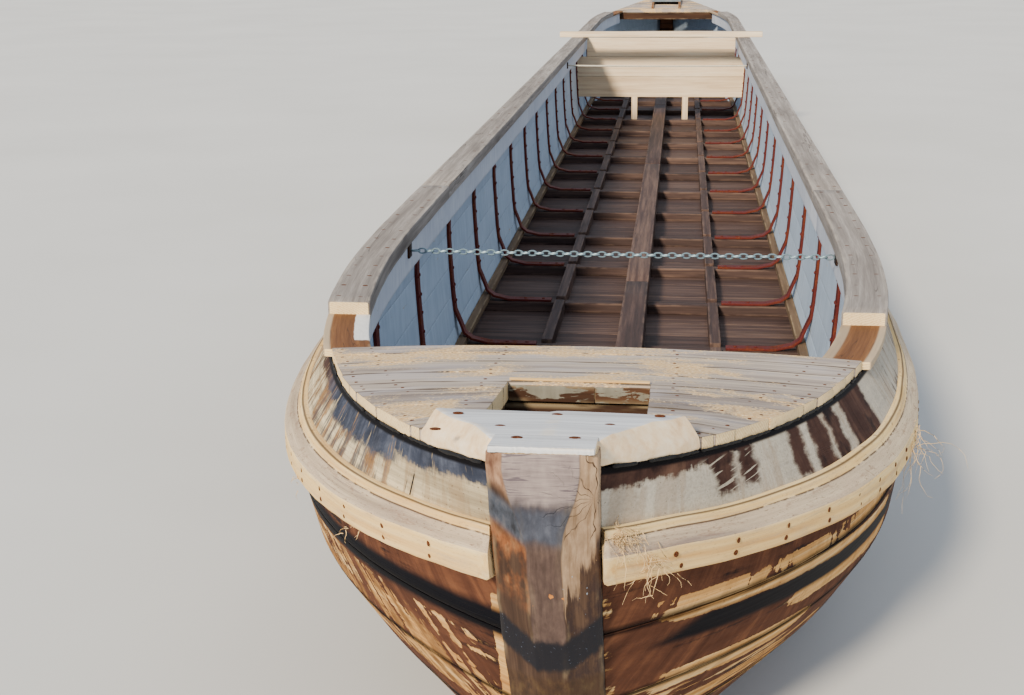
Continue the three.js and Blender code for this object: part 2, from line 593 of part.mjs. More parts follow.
// Rudder and tiller
{
  const front = HULL_LENGTH + 8;
  const blade = [[front, 60 + GAP], [front + 560, 60 + GAP], [HULL_LENGTH + RUDDER_REACH, 150],
    [HULL_LENGTH + RUDDER_REACH, 640], [front + 420, 860], [front + 210, 1010], [front + 190, 1760],
    [front + 120, 1810], [front, 1800]];
  const half = 35;
  // The stock's leading edge is rounded about the hinge line
  const wood = sideShape(blade, -half, half);
  const corner = SIDES.map(([, side]) => loft([0, 2000].map((z) => [[half, front - 10], [14, front - 10],
    [14, front], [half, front + 22], [half + 5, front + 22], [half + 5, front - 10]]
    .map(([x, s]) => [side * x, yAt(s), z]))));
  const notches = HINGE.levels
    .map((z) => box(-60, 60, front - 20, HINGE.s + HINGE.ring + 6, z, z + HINGE.height));
  const pins = HINGE.levels.map((z) => {
    const pin = new THREE.CylinderGeometry(HINGE.pin, HINGE.pin, HINGE.height + 20, 16);
    pin.rotateX(Math.PI / 2);
    pin.translate(0, yAt(HINGE.s), z + HINGE.height / 2);
    return pin;
  });
  const tillerLine = (z) => [[HULL_LENGTH + 230, 1650 + z], [HULL_LENGTH - 1350, 1740 + z]];
  const tiller = (grow) => {
    const [a, b] = tillerLine(0);
    const ring = ([s, z], across, up) => [[-across, -up], [across, -up], [across, up], [-across, up]]
      .map(([x, h]) => [x, yAt(s), z + h]);
    return loft([ring([a[0] + grow, a[1]], 22 + grow, 26 + grow),
      ring([b[0] - grow, b[1]], 17 + grow, 17 + grow)]);
  };
  const body = joined([cut(wood, [...corner, ...notches]), ...pins]);
  node('rudder', cut(body, [tiller(GAP)]), 'tarredWood');
  node('tiller', tiller(0), 'weatheredWood');
}

export default boat;
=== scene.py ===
"""A wooden narrowboat ashore and under repair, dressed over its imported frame.

Lengths are in metres: x across the boat, y aft, z up, and s is the distance aft of the nose of the
stem. A timber carries its own place in the plank, so that its grain follows every bend.
"""

import logging
import math
import random
from dataclasses import dataclass, field
from enum import Enum
from functools import cache
from typing import Iterable, Sequence

import bmesh
import bpy
import numpy as np
from mathutils import Matrix, Vector


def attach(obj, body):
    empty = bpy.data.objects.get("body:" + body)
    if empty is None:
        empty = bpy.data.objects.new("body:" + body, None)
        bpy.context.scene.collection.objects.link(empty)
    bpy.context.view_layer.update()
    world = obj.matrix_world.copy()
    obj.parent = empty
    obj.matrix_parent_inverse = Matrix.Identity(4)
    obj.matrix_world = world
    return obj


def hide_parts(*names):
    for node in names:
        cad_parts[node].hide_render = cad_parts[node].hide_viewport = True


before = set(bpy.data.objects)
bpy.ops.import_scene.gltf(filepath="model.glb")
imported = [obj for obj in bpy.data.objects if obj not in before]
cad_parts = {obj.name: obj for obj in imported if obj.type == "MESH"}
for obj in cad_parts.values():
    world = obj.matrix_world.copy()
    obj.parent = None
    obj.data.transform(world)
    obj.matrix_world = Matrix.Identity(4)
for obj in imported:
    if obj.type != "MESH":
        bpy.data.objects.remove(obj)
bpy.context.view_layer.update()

Colour = tuple[float, float, float, float]
Ring = np.ndarray
Spot = Sequence[float]

TOTAL_LENGTH = 21.88
HULL_LENGTH = 21.1
PLANK = 0.042
POST_HALF = 0.104
TURN = 2 * math.pi
SIDES = (("left", -1), ("right", 1))
UPWARD = (0, 0, 1)
LOG = logging.getLogger("narrowboat")


def tint(code: str) -> Colour:
    """Turns a six-figure colour code into a linear colour.

    Args:
        code: Its red, green and blue, two figures each.

    Returns:
        The colour with a full alpha.
    """
    parts = [int(code[i : i + 2], 16) / 255 for i in (0, 2, 4)]
    r, g, b = (c / 12.92 if c <= 0.04045 else ((c + 0.055) / 1.055) ** 2.4 for c in parts)
    return (r, g, b, 1.0)


def y_at(s: float) -> float:
    """Gives the frame's y at a distance aft of the nose."""
    return s - TOTAL_LENGTH / 2


class Signal:
    """A shader value; arithmetic on it adds Math nodes."""

    def __init__(self, bench: "Bench", socket: bpy.types.NodeSocket) -> None:
        """Keeps the tree it belongs to and its socket."""
        self.bench = bench
        self.socket = socket

    def __add__(self, other: "float | Signal") -> "Signal":
        """Adds."""
        return self.bench.maths("ADD", self, other)

    def __radd__(self, other: float) -> "Signal":
        """Adds to a number."""
        return self.bench.maths("ADD", other, self)

    def __sub__(self, other: "float | Signal") -> "Signal":
        """Takes away."""
        return self.bench.maths("SUBTRACT", self, other)

    def __rsub__(self, other: float) -> "Signal":
        """Is taken away from a number."""
        return self.bench.maths("SUBTRACT", other, self)

    def __mul__(self, other: "float | Signal") -> "Signal":
        """Multiplies."""
        return self.bench.maths("MULTIPLY", self, other)

    def __rmul__(self, other: float) -> "Signal":
        """Multiplies a number."""
        return self.bench.maths("MULTIPLY", other, self)

    def __pow__(self, other: float) -> "Signal":
        """Raises to a power."""
        return self.bench.maths("POWER", self, other)

    def __abs__(self) -> "Signal":
        """Drops the sign."""
        return self.bench.maths("ABSOLUTE", self)

    def __or__(self, other: "float | Signal") -> "Signal":
        """Takes the larger of two masks."""
        return self.bench.maths("MAXIMUM", self, other)


Value = float | Signal
Paint = str | Signal


class Bench:
    """One material's node tree, and the calls that fill it."""

    # the stretch of a noise, round its middle, that a row of tones is spread over
    first_tone = 0.28
    last_tone = 0.72
    relief = 0.6

    def __init__(self, name: str) -> None:
        """Starts an empty material."""
        self.material = bpy.data.materials.new(name)
        self.material.use_nodes = True
        self.tree = self.material.node_tree
        self.tree.nodes.clear()

    def node(self, kind: str, settings: dict | None, sockets: dict | None = None,
             out: int | str = 0) -> Signal:
        """Adds a node.

        Args:
            kind: The node's type.
            settings: Its own settings, set before its sockets; stops are a ramp's places and colours.
            sockets: Values or links of its inputs, by name or index.
            out: The output that is wanted.

        Returns:
            The output as a signal.
        """
        made = self.tree.nodes.new("ShaderNode" + kind)
        for key, value in (settings or {}).items():
            if key == "stops":
                ramp = made.color_ramp
                while len(ramp.elements) < len(value):
                    ramp.elements.new(0.5)
                for element, (place, colour) in zip(ramp.elements, value):
                    element.position, element.color = place, colour
            else:
                setattr(made, key, value)
        for key, value in (sockets or {}).items():
            if isinstance(value, Signal):
                self.tree.links.new(value.socket, made.inputs[key])
            else:
                made.inputs[key].default_value = value
        return Signal(self, made.outputs[out])

    def maths(self, operation: str, *values: Value) -> Signal:
        """Adds a Math node on one, two or three values."""
        return self.node("Math", {"operation": operation}, dict(enumerate(values)))

    def place(self, name: str = "lay") -> Signal:
        """Reads a place that the mesh carries."""
        return self.node("Attribute", {"attribute_name": name}, out="Vector")

    def number(self, name: str) -> Signal:
        """Reads a number that the mesh carries."""
        return self.node("Attribute", {"attribute_name": name}, out="Fac")

    def vector(self, *values: Value) -> Signal:
        """Joins three numbers into a vector."""
        return self.node("CombineXYZ", None, dict(enumerate(values)))

    def axes(self, vector: Signal) -> tuple[Signal, Signal, Signal]:
        """Splits a vector into its three numbers."""
        split = self.node("SeparateXYZ", None, {0: vector}).socket.node
        return tuple(Signal(self, socket) for socket in split.outputs)

    def stretch(self, vector: Signal, scale: Spot, shift: "Spot | Signal" = (0, 0, 0)) -> Signal:
        """Scales a vector by axis and moves it."""
        return self.node("VectorMath", {"operation": "MULTIPLY_ADD"}, {0: vector, 1: scale, 2: shift})

    def mottle(self, vector: Signal, scale: "float | Spot" = 1, detail: float = 3, rough: float = 0.55,
               warp: float = 0) -> Signal:
        """Adds cloudy noise from 0 to 1.

        Args:
            vector: Where it is read.
            scale: Its fineness, or one for each axis.
            detail: How many finer layers it has.
            rough: How strong they are.
            warp: How far it is twisted.

        Returns:
            The noise.
        """
        if isinstance(scale, tuple):
            vector, scale = self.stretch(vector, scale), 1
        sockets = {"Vector": vector, "Scale": scale, "Detail": detail, "Roughness": rough, "Distortion": warp}
        return self.node("TexNoise", {"noise_dimensions": "3D"}, sockets, "Fac")

    def step(self, value: Signal, low: float, high: float) -> Signal:
        """Goes smoothly from 0 at low to 1 at high."""
        sockets = {"Value": value, "From Min": low, "From Max": high}
        return self.node("MapRange", {"interpolation_type": "SMOOTHSTEP"}, sockets)

    def window(self, value: Signal, low: float, high: float, soft: float) -> Signal:
        """Is 1 between low and high, and fades out over soft on both sides."""
        return self.step(value, low - soft, low + soft) * (1 - self.step(value, high - soft, high + soft))

    def right(self, side: Signal) -> Signal:
        """Is 1 on the right side of the boat and 0 on the left."""
        return self.step(side, -0.5, 0.5)

    def blend(self, share: Value, under: Paint, over: Paint, how: str = "MIX") -> Signal:
        """Lays a share of one colour over another.

        Args:
            share: How much of it.
            under: The colour below.
            over: The colour that is laid.
            how: The way they mix.

        Returns:
            The colour.
        """
        under, over = (tint(colour) if isinstance(colour, str) else colour for colour in (under, over))
        settings = {"data_type": "RGBA", "blend_type": how, "clamp_factor": True}
        return self.node("Mix", settings, {0: share, 6: under, 7: over}, 2)

    def tones(self, value: Signal, *codes: str) -> Signal:
        """Spreads colours evenly over a noise.

        Args:
            value: The noise.
            codes: The colours, for its low values first.

        Returns:
            The colour.
        """
        gap = (self.last_tone - self.first_tone) / max(len(codes) - 1, 1)
        stops = [(self.first_tone + gap * i, tint(code)) for i, code in enumerate(codes)]
        return self.node("ValToRGB", {"stops": stops}, {0: value}, "Color")

    def coat(self, colour: Signal, rough: Value, height: Signal | None = None, depth: float = 0.002,
             metal: float = 0.0, gloss: float = 0.22) -> bpy.types.Material:
        """Closes the tree with a surface.

        Args:
            colour: The base colour.
            rough: The roughness.
            height: Relief from 0 to 1.
            depth: How deep the relief is, in metres.
            metal: How metallic it is.
            gloss: Level of the reflections.

        Returns:
            The finished material.
        """
        sockets = {"Base Color": colour, "Roughness": rough, "Metallic": metal, "Specular IOR Level": gloss}
        if height is not None:
            bump = {"Strength": self.relief, "Distance": depth, "Height": height}
            sockets["Normal"] = self.node("Bump", None, bump, "Normal")
        surface = self.node("BsdfPrincipled", None, sockets, "BSDF")
        out = self.tree.nodes.new("ShaderNodeOutputMaterial")
        self.tree.links.new(surface.socket, out.inputs["Surface"])
        return self.material


@dataclass(frozen=True)
class Timber:
    """Sawn or worn wood: tones from shaded to pale, its fibres, drying checks and dirt."""

    name: str
    dark: str
    mid: str
    pale: str
    fibre: float = 0.5
    checks: float = 0.5
    dirt: str = "3a2f28"
    dirty: float = 0.25
    rough: float = 0.8
    worn: str = "c9b28a"
    wear: float = 0.3

    def grain(self, b: Bench) -> tuple[Signal, Signal]:
        """Lays the wood itself.

        Args:
            b: The bench to build on.

        Returns:
            Its colour and its relief.
        """
        tone = b.number("tone")
        shift = b.vector(tone * 9.7, tone * 3.3, tone * 5.1)
        lay = b.stretch(b.place(), (1, 1, 1), shift)
        rings = b.mottle(lay, (0.45, 8, 8), 3, 0.5, 0.5)
        streak = b.mottle(lay, (1.6, 42, 42), 4, 0.6)
        fibre = b.mottle(lay, (9, 260, 260), 2, 0.6)
        crack_line = abs(b.mottle(lay, (0.9, 30, 30), 2, 0.5, 0.2) - 0.5)
        where = b.step(b.mottle(lay, (1.1, 6, 6)), 0.5, 0.62)
        crack = (1 - b.step(crack_line, 0.002, 0.012)) * where
        colour = b.tones(rings * 0.35 + streak * 0.65 + (tone - 0.5) * 0.12, self.dark, self.mid, self.pale)
        colour = b.blend(b.step(fibre, 0.42, 0.62) * (0.35 * self.fibre), colour, self.dark)
        colour = b.blend(crack * self.checks, colour, self.dirt)
        stain = b.step(b.mottle(lay, (0.8, 5, 5), 5, 0.6, 0.4), 0.52, 0.72)
        colour = b.blend(stain * self.dirty, colour, self.dirt)
        edge = b.number("wear") * b.step(b.mottle(lay, (7, 30, 30), 3), 0.4, 0.6)
        colour = b.blend(edge * self.wear, colour, self.worn)
        height = streak * 0.5 + fibre * (0.35 * self.fibre) - crack * (0.9 * self.checks)
        return colour, height

    def material(self) -> bpy.types.Material:
        """Makes the finish.

        Returns:
            The material.
        """
        b = Bench(self.name)
        colour, height = self.grain(b)
        return b.coat(colour, self.rough, height, 0.0018)


@dataclass(frozen=True)
class CutEnd:
    """Sawn end grain with its growth rings and fine radial checks."""

    name: str
    pale: str
    ring: str
    rough: float = 0.85

    def material(self) -> bpy.types.Material:
        """Makes the finish.

        Returns:
            The material.
        """
        b = Bench(self.name)
        lay = b.place()
        _, across, depth = b.axes(lay)
        tone = b.number("tone")
        far = b.maths("SQRT", (across + 0.11 + tone * 0.1) ** 2 + (depth + 0.07) ** 2)
        warp = b.mottle(lay, (5, 20, 20), 2)
        rings = b.maths("SINE", (far + warp * 0.012) * 900) * 0.5 + 0.5
        rough = b.mottle(lay, (60, 160, 160), 3)
        colour = b.blend(rings * 0.35, self.pale, self.ring)
        colour = b.blend(b.step(rough, 0.5, 0.7) * 0.4, colour, self.ring)
        return b.coat(colour, self.rough, rough + rings * 0.2, 0.0012)


class Where(Enum):
    """What lies on the outside of a strake."""

    SHEER = "sheer"
    SIDE = "side"


@dataclass(frozen=True)
class TarredPlank:
    """Tar brushed over the side: thin and brown, thick and black, scraped off to the wood in patches, with
    painted shade and a painted shadow band.
    """

    name: str
    where: Where
    wood: Timber
    thin: str = "2b1a14"
    middle: str = "573729"
    warm: str = "87593d"
    # black of thick tar, also used for the painted shadow band round the bow
    thick: str = "06060e"
    # greys the right side's bare wood, and paints blue-grey shade over the left's tar near the bow
    greyed_and_shaded: float = 0.0
    # where each drip starts and stops along the hull, and the share of the height that it hangs to
    drips: tuple[tuple[float, float, float], ...] = (
        (0.44, 0.51, 0.90), (0.53, 0.60, 0.905), (0.765, 0.84, 0.876),
        (0.885, 0.985, 0.853), (1.01, 1.09, 0.83), (1.15, 1.40, 0.78))
    # the sloping joint between the left sheer strake's two lengths
    scarf: tuple[float, float] = (1.5485, 1.5525)

    def patch(self, b: Bench, s: Signal, w: Signal, span: Spot, rise: Spot, soft: float = 0.1) -> Signal:
        """Marks an oblong patch of the side.

        Args:
            b: The bench to build on.
            s: Distance aft.
            w: Share of the side's height.
            span: Where it starts and ends along the hull.
            rise: Its lowest and highest share of the height.
            soft: How softly it ends along the hull.

        Returns:
            Its mask.
        """
        return b.window(s, span[0], span[1], soft) * b.window(w, rise[0], rise[1], 0.012)

    def sheer_cover(self, b: Bench, s: Signal, w: Signal, side: Signal) -> tuple[Signal, Signal]:
        """Lays the tar that hangs from the deck's edge: broad drips on the right, brushed out on the left.

        Args:
            b: The bench to build on.
            s: Distance aft.
            w: Share of the side's height.
            side: -1 at the left, 1 at the right.

        Returns:
            Where tar lies, and how thick it is there.
        """
        spread = b.vector(s, w, side * 3.7)
        blot = b.mottle(spread, (5, 16, 1), 5, 0.65)
        hair = b.mottle(spread, (90, 16, 1), 3, 0.6)
        fine = b.mottle(spread, (30, 70, 1), 4, 0.65)
        stroke = b.mottle(spread, (34, 3.2, 1), 3, 0.6)
        right = b.right(side)
        left = 1 - right
        along = s + (blot - 0.5) * 0.09 + (fine - 0.5) * 0.03
        up = w + (blot - 0.5) * 0.045 + (fine - 0.5) * 0.025 + (hair - 0.5) * 0.02
        hung = b.step(up - s * 0.07, 0.943, 0.953) * (1 - b.step(along, 0.60, 0.66))
        for start, stop, low in self.drips:
            hung = hung | (b.window(along, start, stop, 0.014) * b.step(up, low, low + 0.02))
        tilt = b.vector(s * 3 + w * 26, w * 120 - s * 26, side)
        slash = b.step(b.mottle(tilt, 1, 2, 0.4), 0.58, 0.62) * b.window(s, 0.40, 0.68, 0.05)
        hung = hung * (1 - slash * (1 - b.step(w, 0.975, 0.985)) * 0.9)
        brushed = b.step(up, 0.952, 0.966) | (b.window(along, 0.5, 1.1, 0.04) * b.step(up, 0.925, 0.945))
        streaks = b.window(s, 0.55, 2.2, 0.1) * b.step(stroke * 0.7 + blot * 0.3, 0.5, 0.57)
        streaks = streaks * b.step(w + (stroke - 0.5) * 0.3, 0.86, 0.92)
        brushed = (brushed | (streaks * 0.75)) * (1 - b.step(hair * 0.5 + stroke * 0.5, 0.56, 0.62) * 0.75)
        aft = b.step(stroke * 0.5 + blot * 0.5, 0.53, 0.6) * b.step(s, 1.45, 1.9) * 0.75
        scarf = b.window(s + w * 0.383, *self.scarf, 0.0012) * b.step(w, 0.8, 0.82)
        leaning = s + (w - 0.91) * 0.25
        scores = b.window(leaning, 0.409, 0.414, 0.001) * b.window(w, 0.887, 0.938, 0.004)
        scores = scores | (b.window(leaning, 0.433, 0.4355, 0.001) * b.window(w, 0.898, 0.921, 0.004))
        marks = (scarf | scores) * left
        edge = b.step(w, 0.984, 0.990)
        cover = (hung * right) | (brushed * left) | aft | marks | edge
        pools = b.step(b.mottle(spread, (9, 9, 1), 4, 0.6), 0.50, 0.66)
        return cover, (pools * (0.85 - left * 0.45)) | marks | edge

    def side_cover(self, b: Bench, s: Signal, w: Signal, side: Signal) -> tuple[Signal, Signal]:
        """Lays the tar of the side, worn off in patches by the seams, with a painted shadow band in tar black
        round the bow.

        Args:
            b: The bench to build on.
            s: Distance aft.
            w: Share of the side's height.
            side: -1 at the left, 1 at the right.

        Returns:
            Where tar or the painted shadow band lies, and how thick it is there, the band counting as thick.
        """
        spread = b.vector(s, w, side * 3.7)
        along = b.mottle(spread, (2.2, 46, 1), 4, 0.62, 0.3)
        blot = b.mottle(spread, (4.4, 15, 1), 5, 0.62)
        stroke = b.mottle(spread, (30, 3.5, 1), 4, 0.6, 0.3)
        hair = b.mottle(spread, (95, 15, 1), 3, 0.6)
        right = b.right(side)
        line = w + (blot - 0.5) * 0.02
        right_line = line + s * 0.045
        strip = self.patch(b, s, right_line, (0.36, 1.5), (0.686, 0.722), 0.05) * right
        above = self.patch(b, s, line, (0.28, 1.45), (0.684, 0.726)) * right
        above = above * b.step(stroke + (blot - 0.5), 0.42, 0.5)
        tan = self.patch(b, s, right_line, (0.86, 1.6), (0.588, 0.636), 0.06) * right
        low = self.patch(b, s, line + s * 0.04, (0.5, 1.05), (0.488, 0.552)) * right
        slivers = self.patch(b, s, line + s * 0.16, (0.45, 1.3), (0.475, 0.605)) * right
        slivers = slivers * b.step(along, 0.5, 0.54)
        left = self.patch(b, s, line, (0.42, 1.5), (0.40, 0.650), 0.15) * (1 - right)
        left = left * b.step(stroke * 0.6 + blot * 0.4, 0.44, 0.52)
        start = (1 - w) ** BOW.rake_power * BOW.rake + BOW.set_back
        hood = (1 - b.step(s - start + (blot - 0.5) * 0.03, 0.018, 0.036)) * (0.95 - right * 0.45)
        hood = hood * b.step(0.78 - w, 0.0, 0.03)
        ragged = (blot - 0.5) * 2.2 + (hair - 0.5) * 0.9 + (along - 0.5) * 1.6
        worn = (strip * 1.15) | above | tan | low | (slivers * 0.9) | left | hood
        bare = b.step(worn + ragged * 0.62, 0.5, 0.62)
        elsewhere = b.step(along * 0.6 + blot * 0.3 + hair * 0.1, 0.6, 0.66) * 0.8
        cover = 1 - (bare | elsewhere)
        # painted shadow: dark bands cast across the bow, below the guard on the left and lower on the right,
        # in the black of thick tar
        tilted = line + s * (0.020 + right * 0.035)
        left_shadow_band = b.window(tilted, 0.672, 0.735, 0.012) * (1 - right) * (1 - b.step(s, 1.5, 2.1))
        right_shadow_band = b.window(right_line, 0.630, 0.688, 0.01) * right
        band = left_shadow_band | (right_shadow_band * b.window(s - (right_line - 0.63) * 1.6, 0.4, 1.7, 0.05))
        cover = cover | band
        pools = b.step(blot * 0.55 + along * 0.45 + (hair - 0.5) * 0.1, 0.52, 0.62)
        return cover, (pools * 0.9) | band

    def material(self) -> bpy.types.Material:
        """Makes the finish.

        Returns:
            The material.
        """
        b = Bench(self.name)
        wood, relief = self.wood.grain(b)
        s, w, side = b.axes(b.place("hull"))
        lay = self.sheer_cover if self.where is Where.SHEER else self.side_cover
        cover, thick = lay(b, s, w, side)
        spread = b.vector(s, w, side)
        brushed = b.mottle(spread, (40, 5, 1), 4, 0.6)
        fibre = b.mottle(b.place(), (2.2, 60, 60), 4, 0.6)
        wash = b.mottle(spread, (5, 9, 1), 6, 0.7, 0.5)
        strokes = b.mottle(spread, (22, 2.6, 1), 5, 0.65, 0.5)
        brown = b.tones(strokes * 0.5 + wash * 0.5, self.thin, self.middle, self.warm)
        left = 1 - b.right(side)
        # painted shade: the left's tar near the bow turns blue-grey, as in shade lit by the sky
        blue = b.tones(strokes * 0.4 + wash * 0.6, "191e28", "353d4c", "636c7c")
        brown = b.blend(left * min(1.0, self.greyed_and_shaded * 1.1) * (1 - b.step(s, 1.1, 1.5)), brown, blue)
        # thick tar; on the side strakes this mask also carries the painted shadow band
        tar = b.blend(thick, brown, self.thick)
        specks = b.mottle(spread, (120, 160, 1), 3, 0.6)
        grey_side = b.right(side) * self.greyed_and_shaded
        wood = b.blend(grey_side, wood, b.tones(wash * 0.5 + specks * 0.5, "857f76", "b3aca0", "d8d0c0"))
        stained = 0.3 + b.window(s, 0.5, 2.2, 0.12) * left * 0.6
        stained = b.step(wash * 0.4 + strokes * 0.6, 0.47, 0.56) * stained
        wood = b.blend(stained, wood, b.tones(strokes * 0.6 + brushed * 0.4, "3f2a1e", "75502f", "a07a52"))
        wood = b.blend(b.step(specks, 0.62, 0.7) * 0.6, wood, "4a3426")
        colour = b.blend(cover, wood, tar)
        colour = b.blend(b.number("wear") * b.step(fibre, 0.2, 0.5) * 0.9, colour, "070507")
        rough = 0.9 - cover * 0.2 - thick * cover * 0.15 + (fibre - 0.5) * 0.2
        height = relief * 0.8 + cover * 0.5 + thick * cover * 0.3 + brushed * (cover * 0.2)
        return b.coat(colour, rough, height, 0.0026, gloss=0.03)


@dataclass(frozen=True)
class FlatPaint:
    """Old flat paint on planks: brushed down the side, thin on the high spots and peeling."""

    name: str
    paint: str
    shade: str
    under: Timber
    peel: float = 0.3
    rough: float = 0.75

    def material(self) -> bpy.types.Material:
        """Makes the finish.

        Returns:
            The material.
        """
        b = Bench(self.name)
        wood, relief = self.under.grain(b)
        lay = b.place()
        brushed = b.mottle(lay, (26, 3.5, 8), 4, 0.6)
        cloud = b.mottle(lay, (1.4, 3, 3), 4)
        flakes = b.mottle(lay, (7, 26, 26), 5, 0.65, 0.5)
        colour = b.tones(brushed * 0.6 + cloud * 0.4, self.shade, self.paint)
        gone = b.step(flakes + b.number("wear") * 0.03, 0.72 - 0.25 * self.peel, 0.75 - 0.25 * self.peel)
        colour = b.blend(gone, colour, wood)
        height = relief * 0.5 + (1 - gone) * 0.5 + brushed * 0.15
        return b.coat(colour, self.rough + gone * 0.1, height, 0.0012)


@dataclass(frozen=True)
class Iron:
    """Forged iron under worn paint or rust."""

    name: str
    paint: str
    rust: str
    deep: str
    rusted: float = 0.4
    metal: float = 0.2
    rough: float = 0.6
    scale: float = 1.0

    def material(self) -> bpy.types.Material:
        """Makes the finish.

        Returns:
            The material.
        """
        b = Bench(self.name)
        lay = b.stretch(b.place(), (self.scale,) * 3)
        cloud = b.mottle(lay, 9, 5, 0.65, 0.4)
        pits = b.mottle(lay, 90, 4, 0.6)
        mask = b.step(cloud + b.number("wear") * 0.08, 0.66 - 0.35 * self.rusted, 0.74 - 0.3 * self.rusted)
        colour = b.blend(b.step(pits, 0.4, 0.7) * 0.5, self.paint, self.deep)
        colour = b.blend(mask, colour, b.tones(pits, self.deep, self.rust))
        rough = self.rough + mask * 0.25 + (pits - 0.5) * 0.2
        return b.coat(colour, rough, pits * 0.7 + cloud * 0.3, 0.0012, self.metal)


@dataclass(frozen=True)
class Fibre:
    """Twisted fibre, fuzzy and dusty."""

    name: str
    pale: str
    shade: str

    def material(self) -> bpy.types.Material:
        """Makes the finish.

        Returns:
            The material.
        """
        b = Bench(self.name)
        strands = b.mottle(b.place(), (60, 500, 500), 3)
        dust = b.mottle(b.place(), 14, 4)
        colour = b.tones(strands * 0.7 + dust * 0.3, self.shade, self.pale)
        return b.coat(colour, 0.95, strands, 0.0008)


BARE = Timber("bare_weathered", "877964", "bcac8c", "e8d6b0", 0.6, 0.6, "4d3826", 0.4)
SCRAPED = Timber("bare_scraped", "9a6232", "d2a264", "f0d6a2", 0.6, 0.5, "5b3518", 0.45)
NEW_WOOD = Timber("new_timber", "cf9c58", "f3cd88", "ffe6b0", 0.3, 0.12, "94683c", 0.12, 0.7, "fff0cc", 0.2)
LEDGE_WOOD = Timber("ledge_timber", "96836d", "c3ae92", "e4d0ae", 0.6, 0.5, "6c5a5e", 0.6, 0.85, "dcc8a6",
                    0.12)
CAP_WOOD = Timber("cap_timber", "675e57", "938a82", "b9b1a8", 0.8, 0.9, "3d332c", 0.4, 0.85, "c2b6a6", 0.3)
BROWN_WOOD = Timber("brown_timber", "4e3019", "7a4e2a", "9c6e3f", 0.6, 0.5, "2a1a10", 0.4)
# dark brown wood under the decks, darkened further as painted shade
SHADED_HATCH_WOOD = Timber("hatch_timber", "26180f", "412a1c", "62442f", 0.6, 0.5, "160d08", 0.4)
FLOOR_WOOD = Timber("floor_timber", "271e1d", "4a3833", "745c50", 0.6, 0.5, "171110", 0.4, 0.7, "8d7260", 0.3)
ASH = Timber("tiller_ash", "9a7446", "c09a62", "dabb84", 0.4, 0.2, "6a4a2c", 0.2, 0.5, "e2c796", 0.3)
BOARD_WOOD = Timber("board_timber", "c9a985", "ead0ac", "fbebcc", 0.35, 0.2, "8a6a4a", 0.15, 0.75)


@dataclass(frozen=True)
class PatchedWood:
    """Brown wood with a white-painted oblong on the left and a pale edge on the right."""

    wood: Timber = BROWN_WOOD

    def material(self) -> bpy.types.Material:
        """Makes the finish.

        Returns:
            The material.
        """
        b = Bench("patched_wood")
        wood, relief = self.wood.grain(b)
        s, inset, side = b.axes(b.place("hull"))
        fine = b.mottle(b.place(), (30, 60, 60), 4, 0.6)
        left = 1 - b.right(side)
        white = b.window(s + (fine - 0.5) * 0.02, 1.66, 2.1, 0.004)
        white = white * b.window(inset + (fine - 0.5) * 0.006, 0.070, 0.2, 0.002)
        edge = b.window(inset, -0.1, -0.004, 0.004) | (b.window(inset, 0.085, 0.2, 0.004) * (1 - left) * 0.8)
        colour = b.blend(edge * 0.7, wood, "c9b596")
        colour = b.blend(white * left, colour, b.blend(fine, "f4f2ee", "d2cdc4"))
        return b.coat(colour, 0.8, relief, 0.002)


@dataclass(frozen=True)
class GuardWood:
    """A guard's new timber, with dark seams beside its strip, stains that run down and pink dust."""

    name: str
    wood: Timber
    soiled: float

    def material(self) -> bpy.types.Material:
        """Makes the finish.

        Returns:
            The material.
        """
        b = Bench(self.name)
        wood, relief = self.wood.grain(b)
        s, band, _ = b.axes(b.place("hull"))
        spread = b.vector(s, band, 0.0)
        cloud = b.mottle(spread, (4, 1.6, 1), 5, 0.7, 0.6)
        runs = b.mottle(spread, (28, 0.9, 1), 3, 0.55)
        specks = b.mottle(b.place(), (90, 260, 260), 3, 0.6)
        pink = b.tones(specks, "8f7a68", "c0a68c", "ddc6a8")
        colour = b.blend(b.step(cloud, 0.48, 0.66) * (0.3 + self.soiled * 0.4), wood, pink)
        colour = b.blend(b.step(runs, 0.63, 0.7) * b.step(s, 0.5, 1.4) * 0.6, colour, "7a5534")
        colour = b.blend(b.step(specks, 0.6, 0.68) * self.soiled * 0.75, colour, "5f4636")
        muddy = b.mottle(spread, (9, 3, 1), 5, 0.7, 0.8)
        colour = b.blend(b.step(muddy * 0.7 + specks * 0.3, 0.52, 0.6) * self.soiled * 0.6, colour, "8a6a55")
        upper = (1 - b.step(abs(band - 2.0), 0.02, 0.10)) * b.step(cloud + runs, 0.86, 1.0)
        top = 1 - b.step(abs(band - 0.9), 0.05, 0.3)
        colour = b.blend((upper | top) * 0.85, colour, "3d2616")
        return b.coat(colour, 0.82, relief + specks * 0.4 - upper * 0.8, 0.002)


@dataclass(frozen=True)
class DustyDeck:
    """Grey-lilac deck planks under drifts of tan sawdust."""

    wood: Timber = Timber("deck_planks", "6a5d56", "a5968a", "d0c0ac", 0.6, 0.7, "46382f", 0.3)
    dust: str = "dcb57e"

    def material(self) -> bpy.types.Material:
        """Makes the finish.

        Returns:
            The material.
        """
        b = Bench("dusty_deck")
        wood, relief = self.wood.grain(b)
        x, d, up = b.axes(b.place("hull"))
        spread = b.vector(x, d, up * 0.2)
        drift = b.mottle(spread, (2.4, 4.5, 1), 4, 0.6, 0.4)
        chips = b.mottle(spread, (110, 150, 60), 3, 0.6)
        curls = b.mottle(spread, (45, 70, 60), 2, 0.5, 1.5)
        mask = b.step(drift * 0.75 + chips * 0.22 + curls * 0.12, 0.55, 0.61)
        dust = b.tones(chips, "a9855a", self.dust, "f0dcb8")
        blue = b.step(b.mottle(spread, (3, 9, 1), 3), 0.5, 0.62) * 0.4
        colour = b.blend(blue * 0.6, wood, "b4b3bd")
        colour = b.blend(b.number("wear") * 0.8, colour, "2a211d")
        colour = b.blend(mask * 0.9, colour, dust)
        return b.coat(colour, 0.88, relief * 0.6 + mask * chips * 0.9, 0.0022)


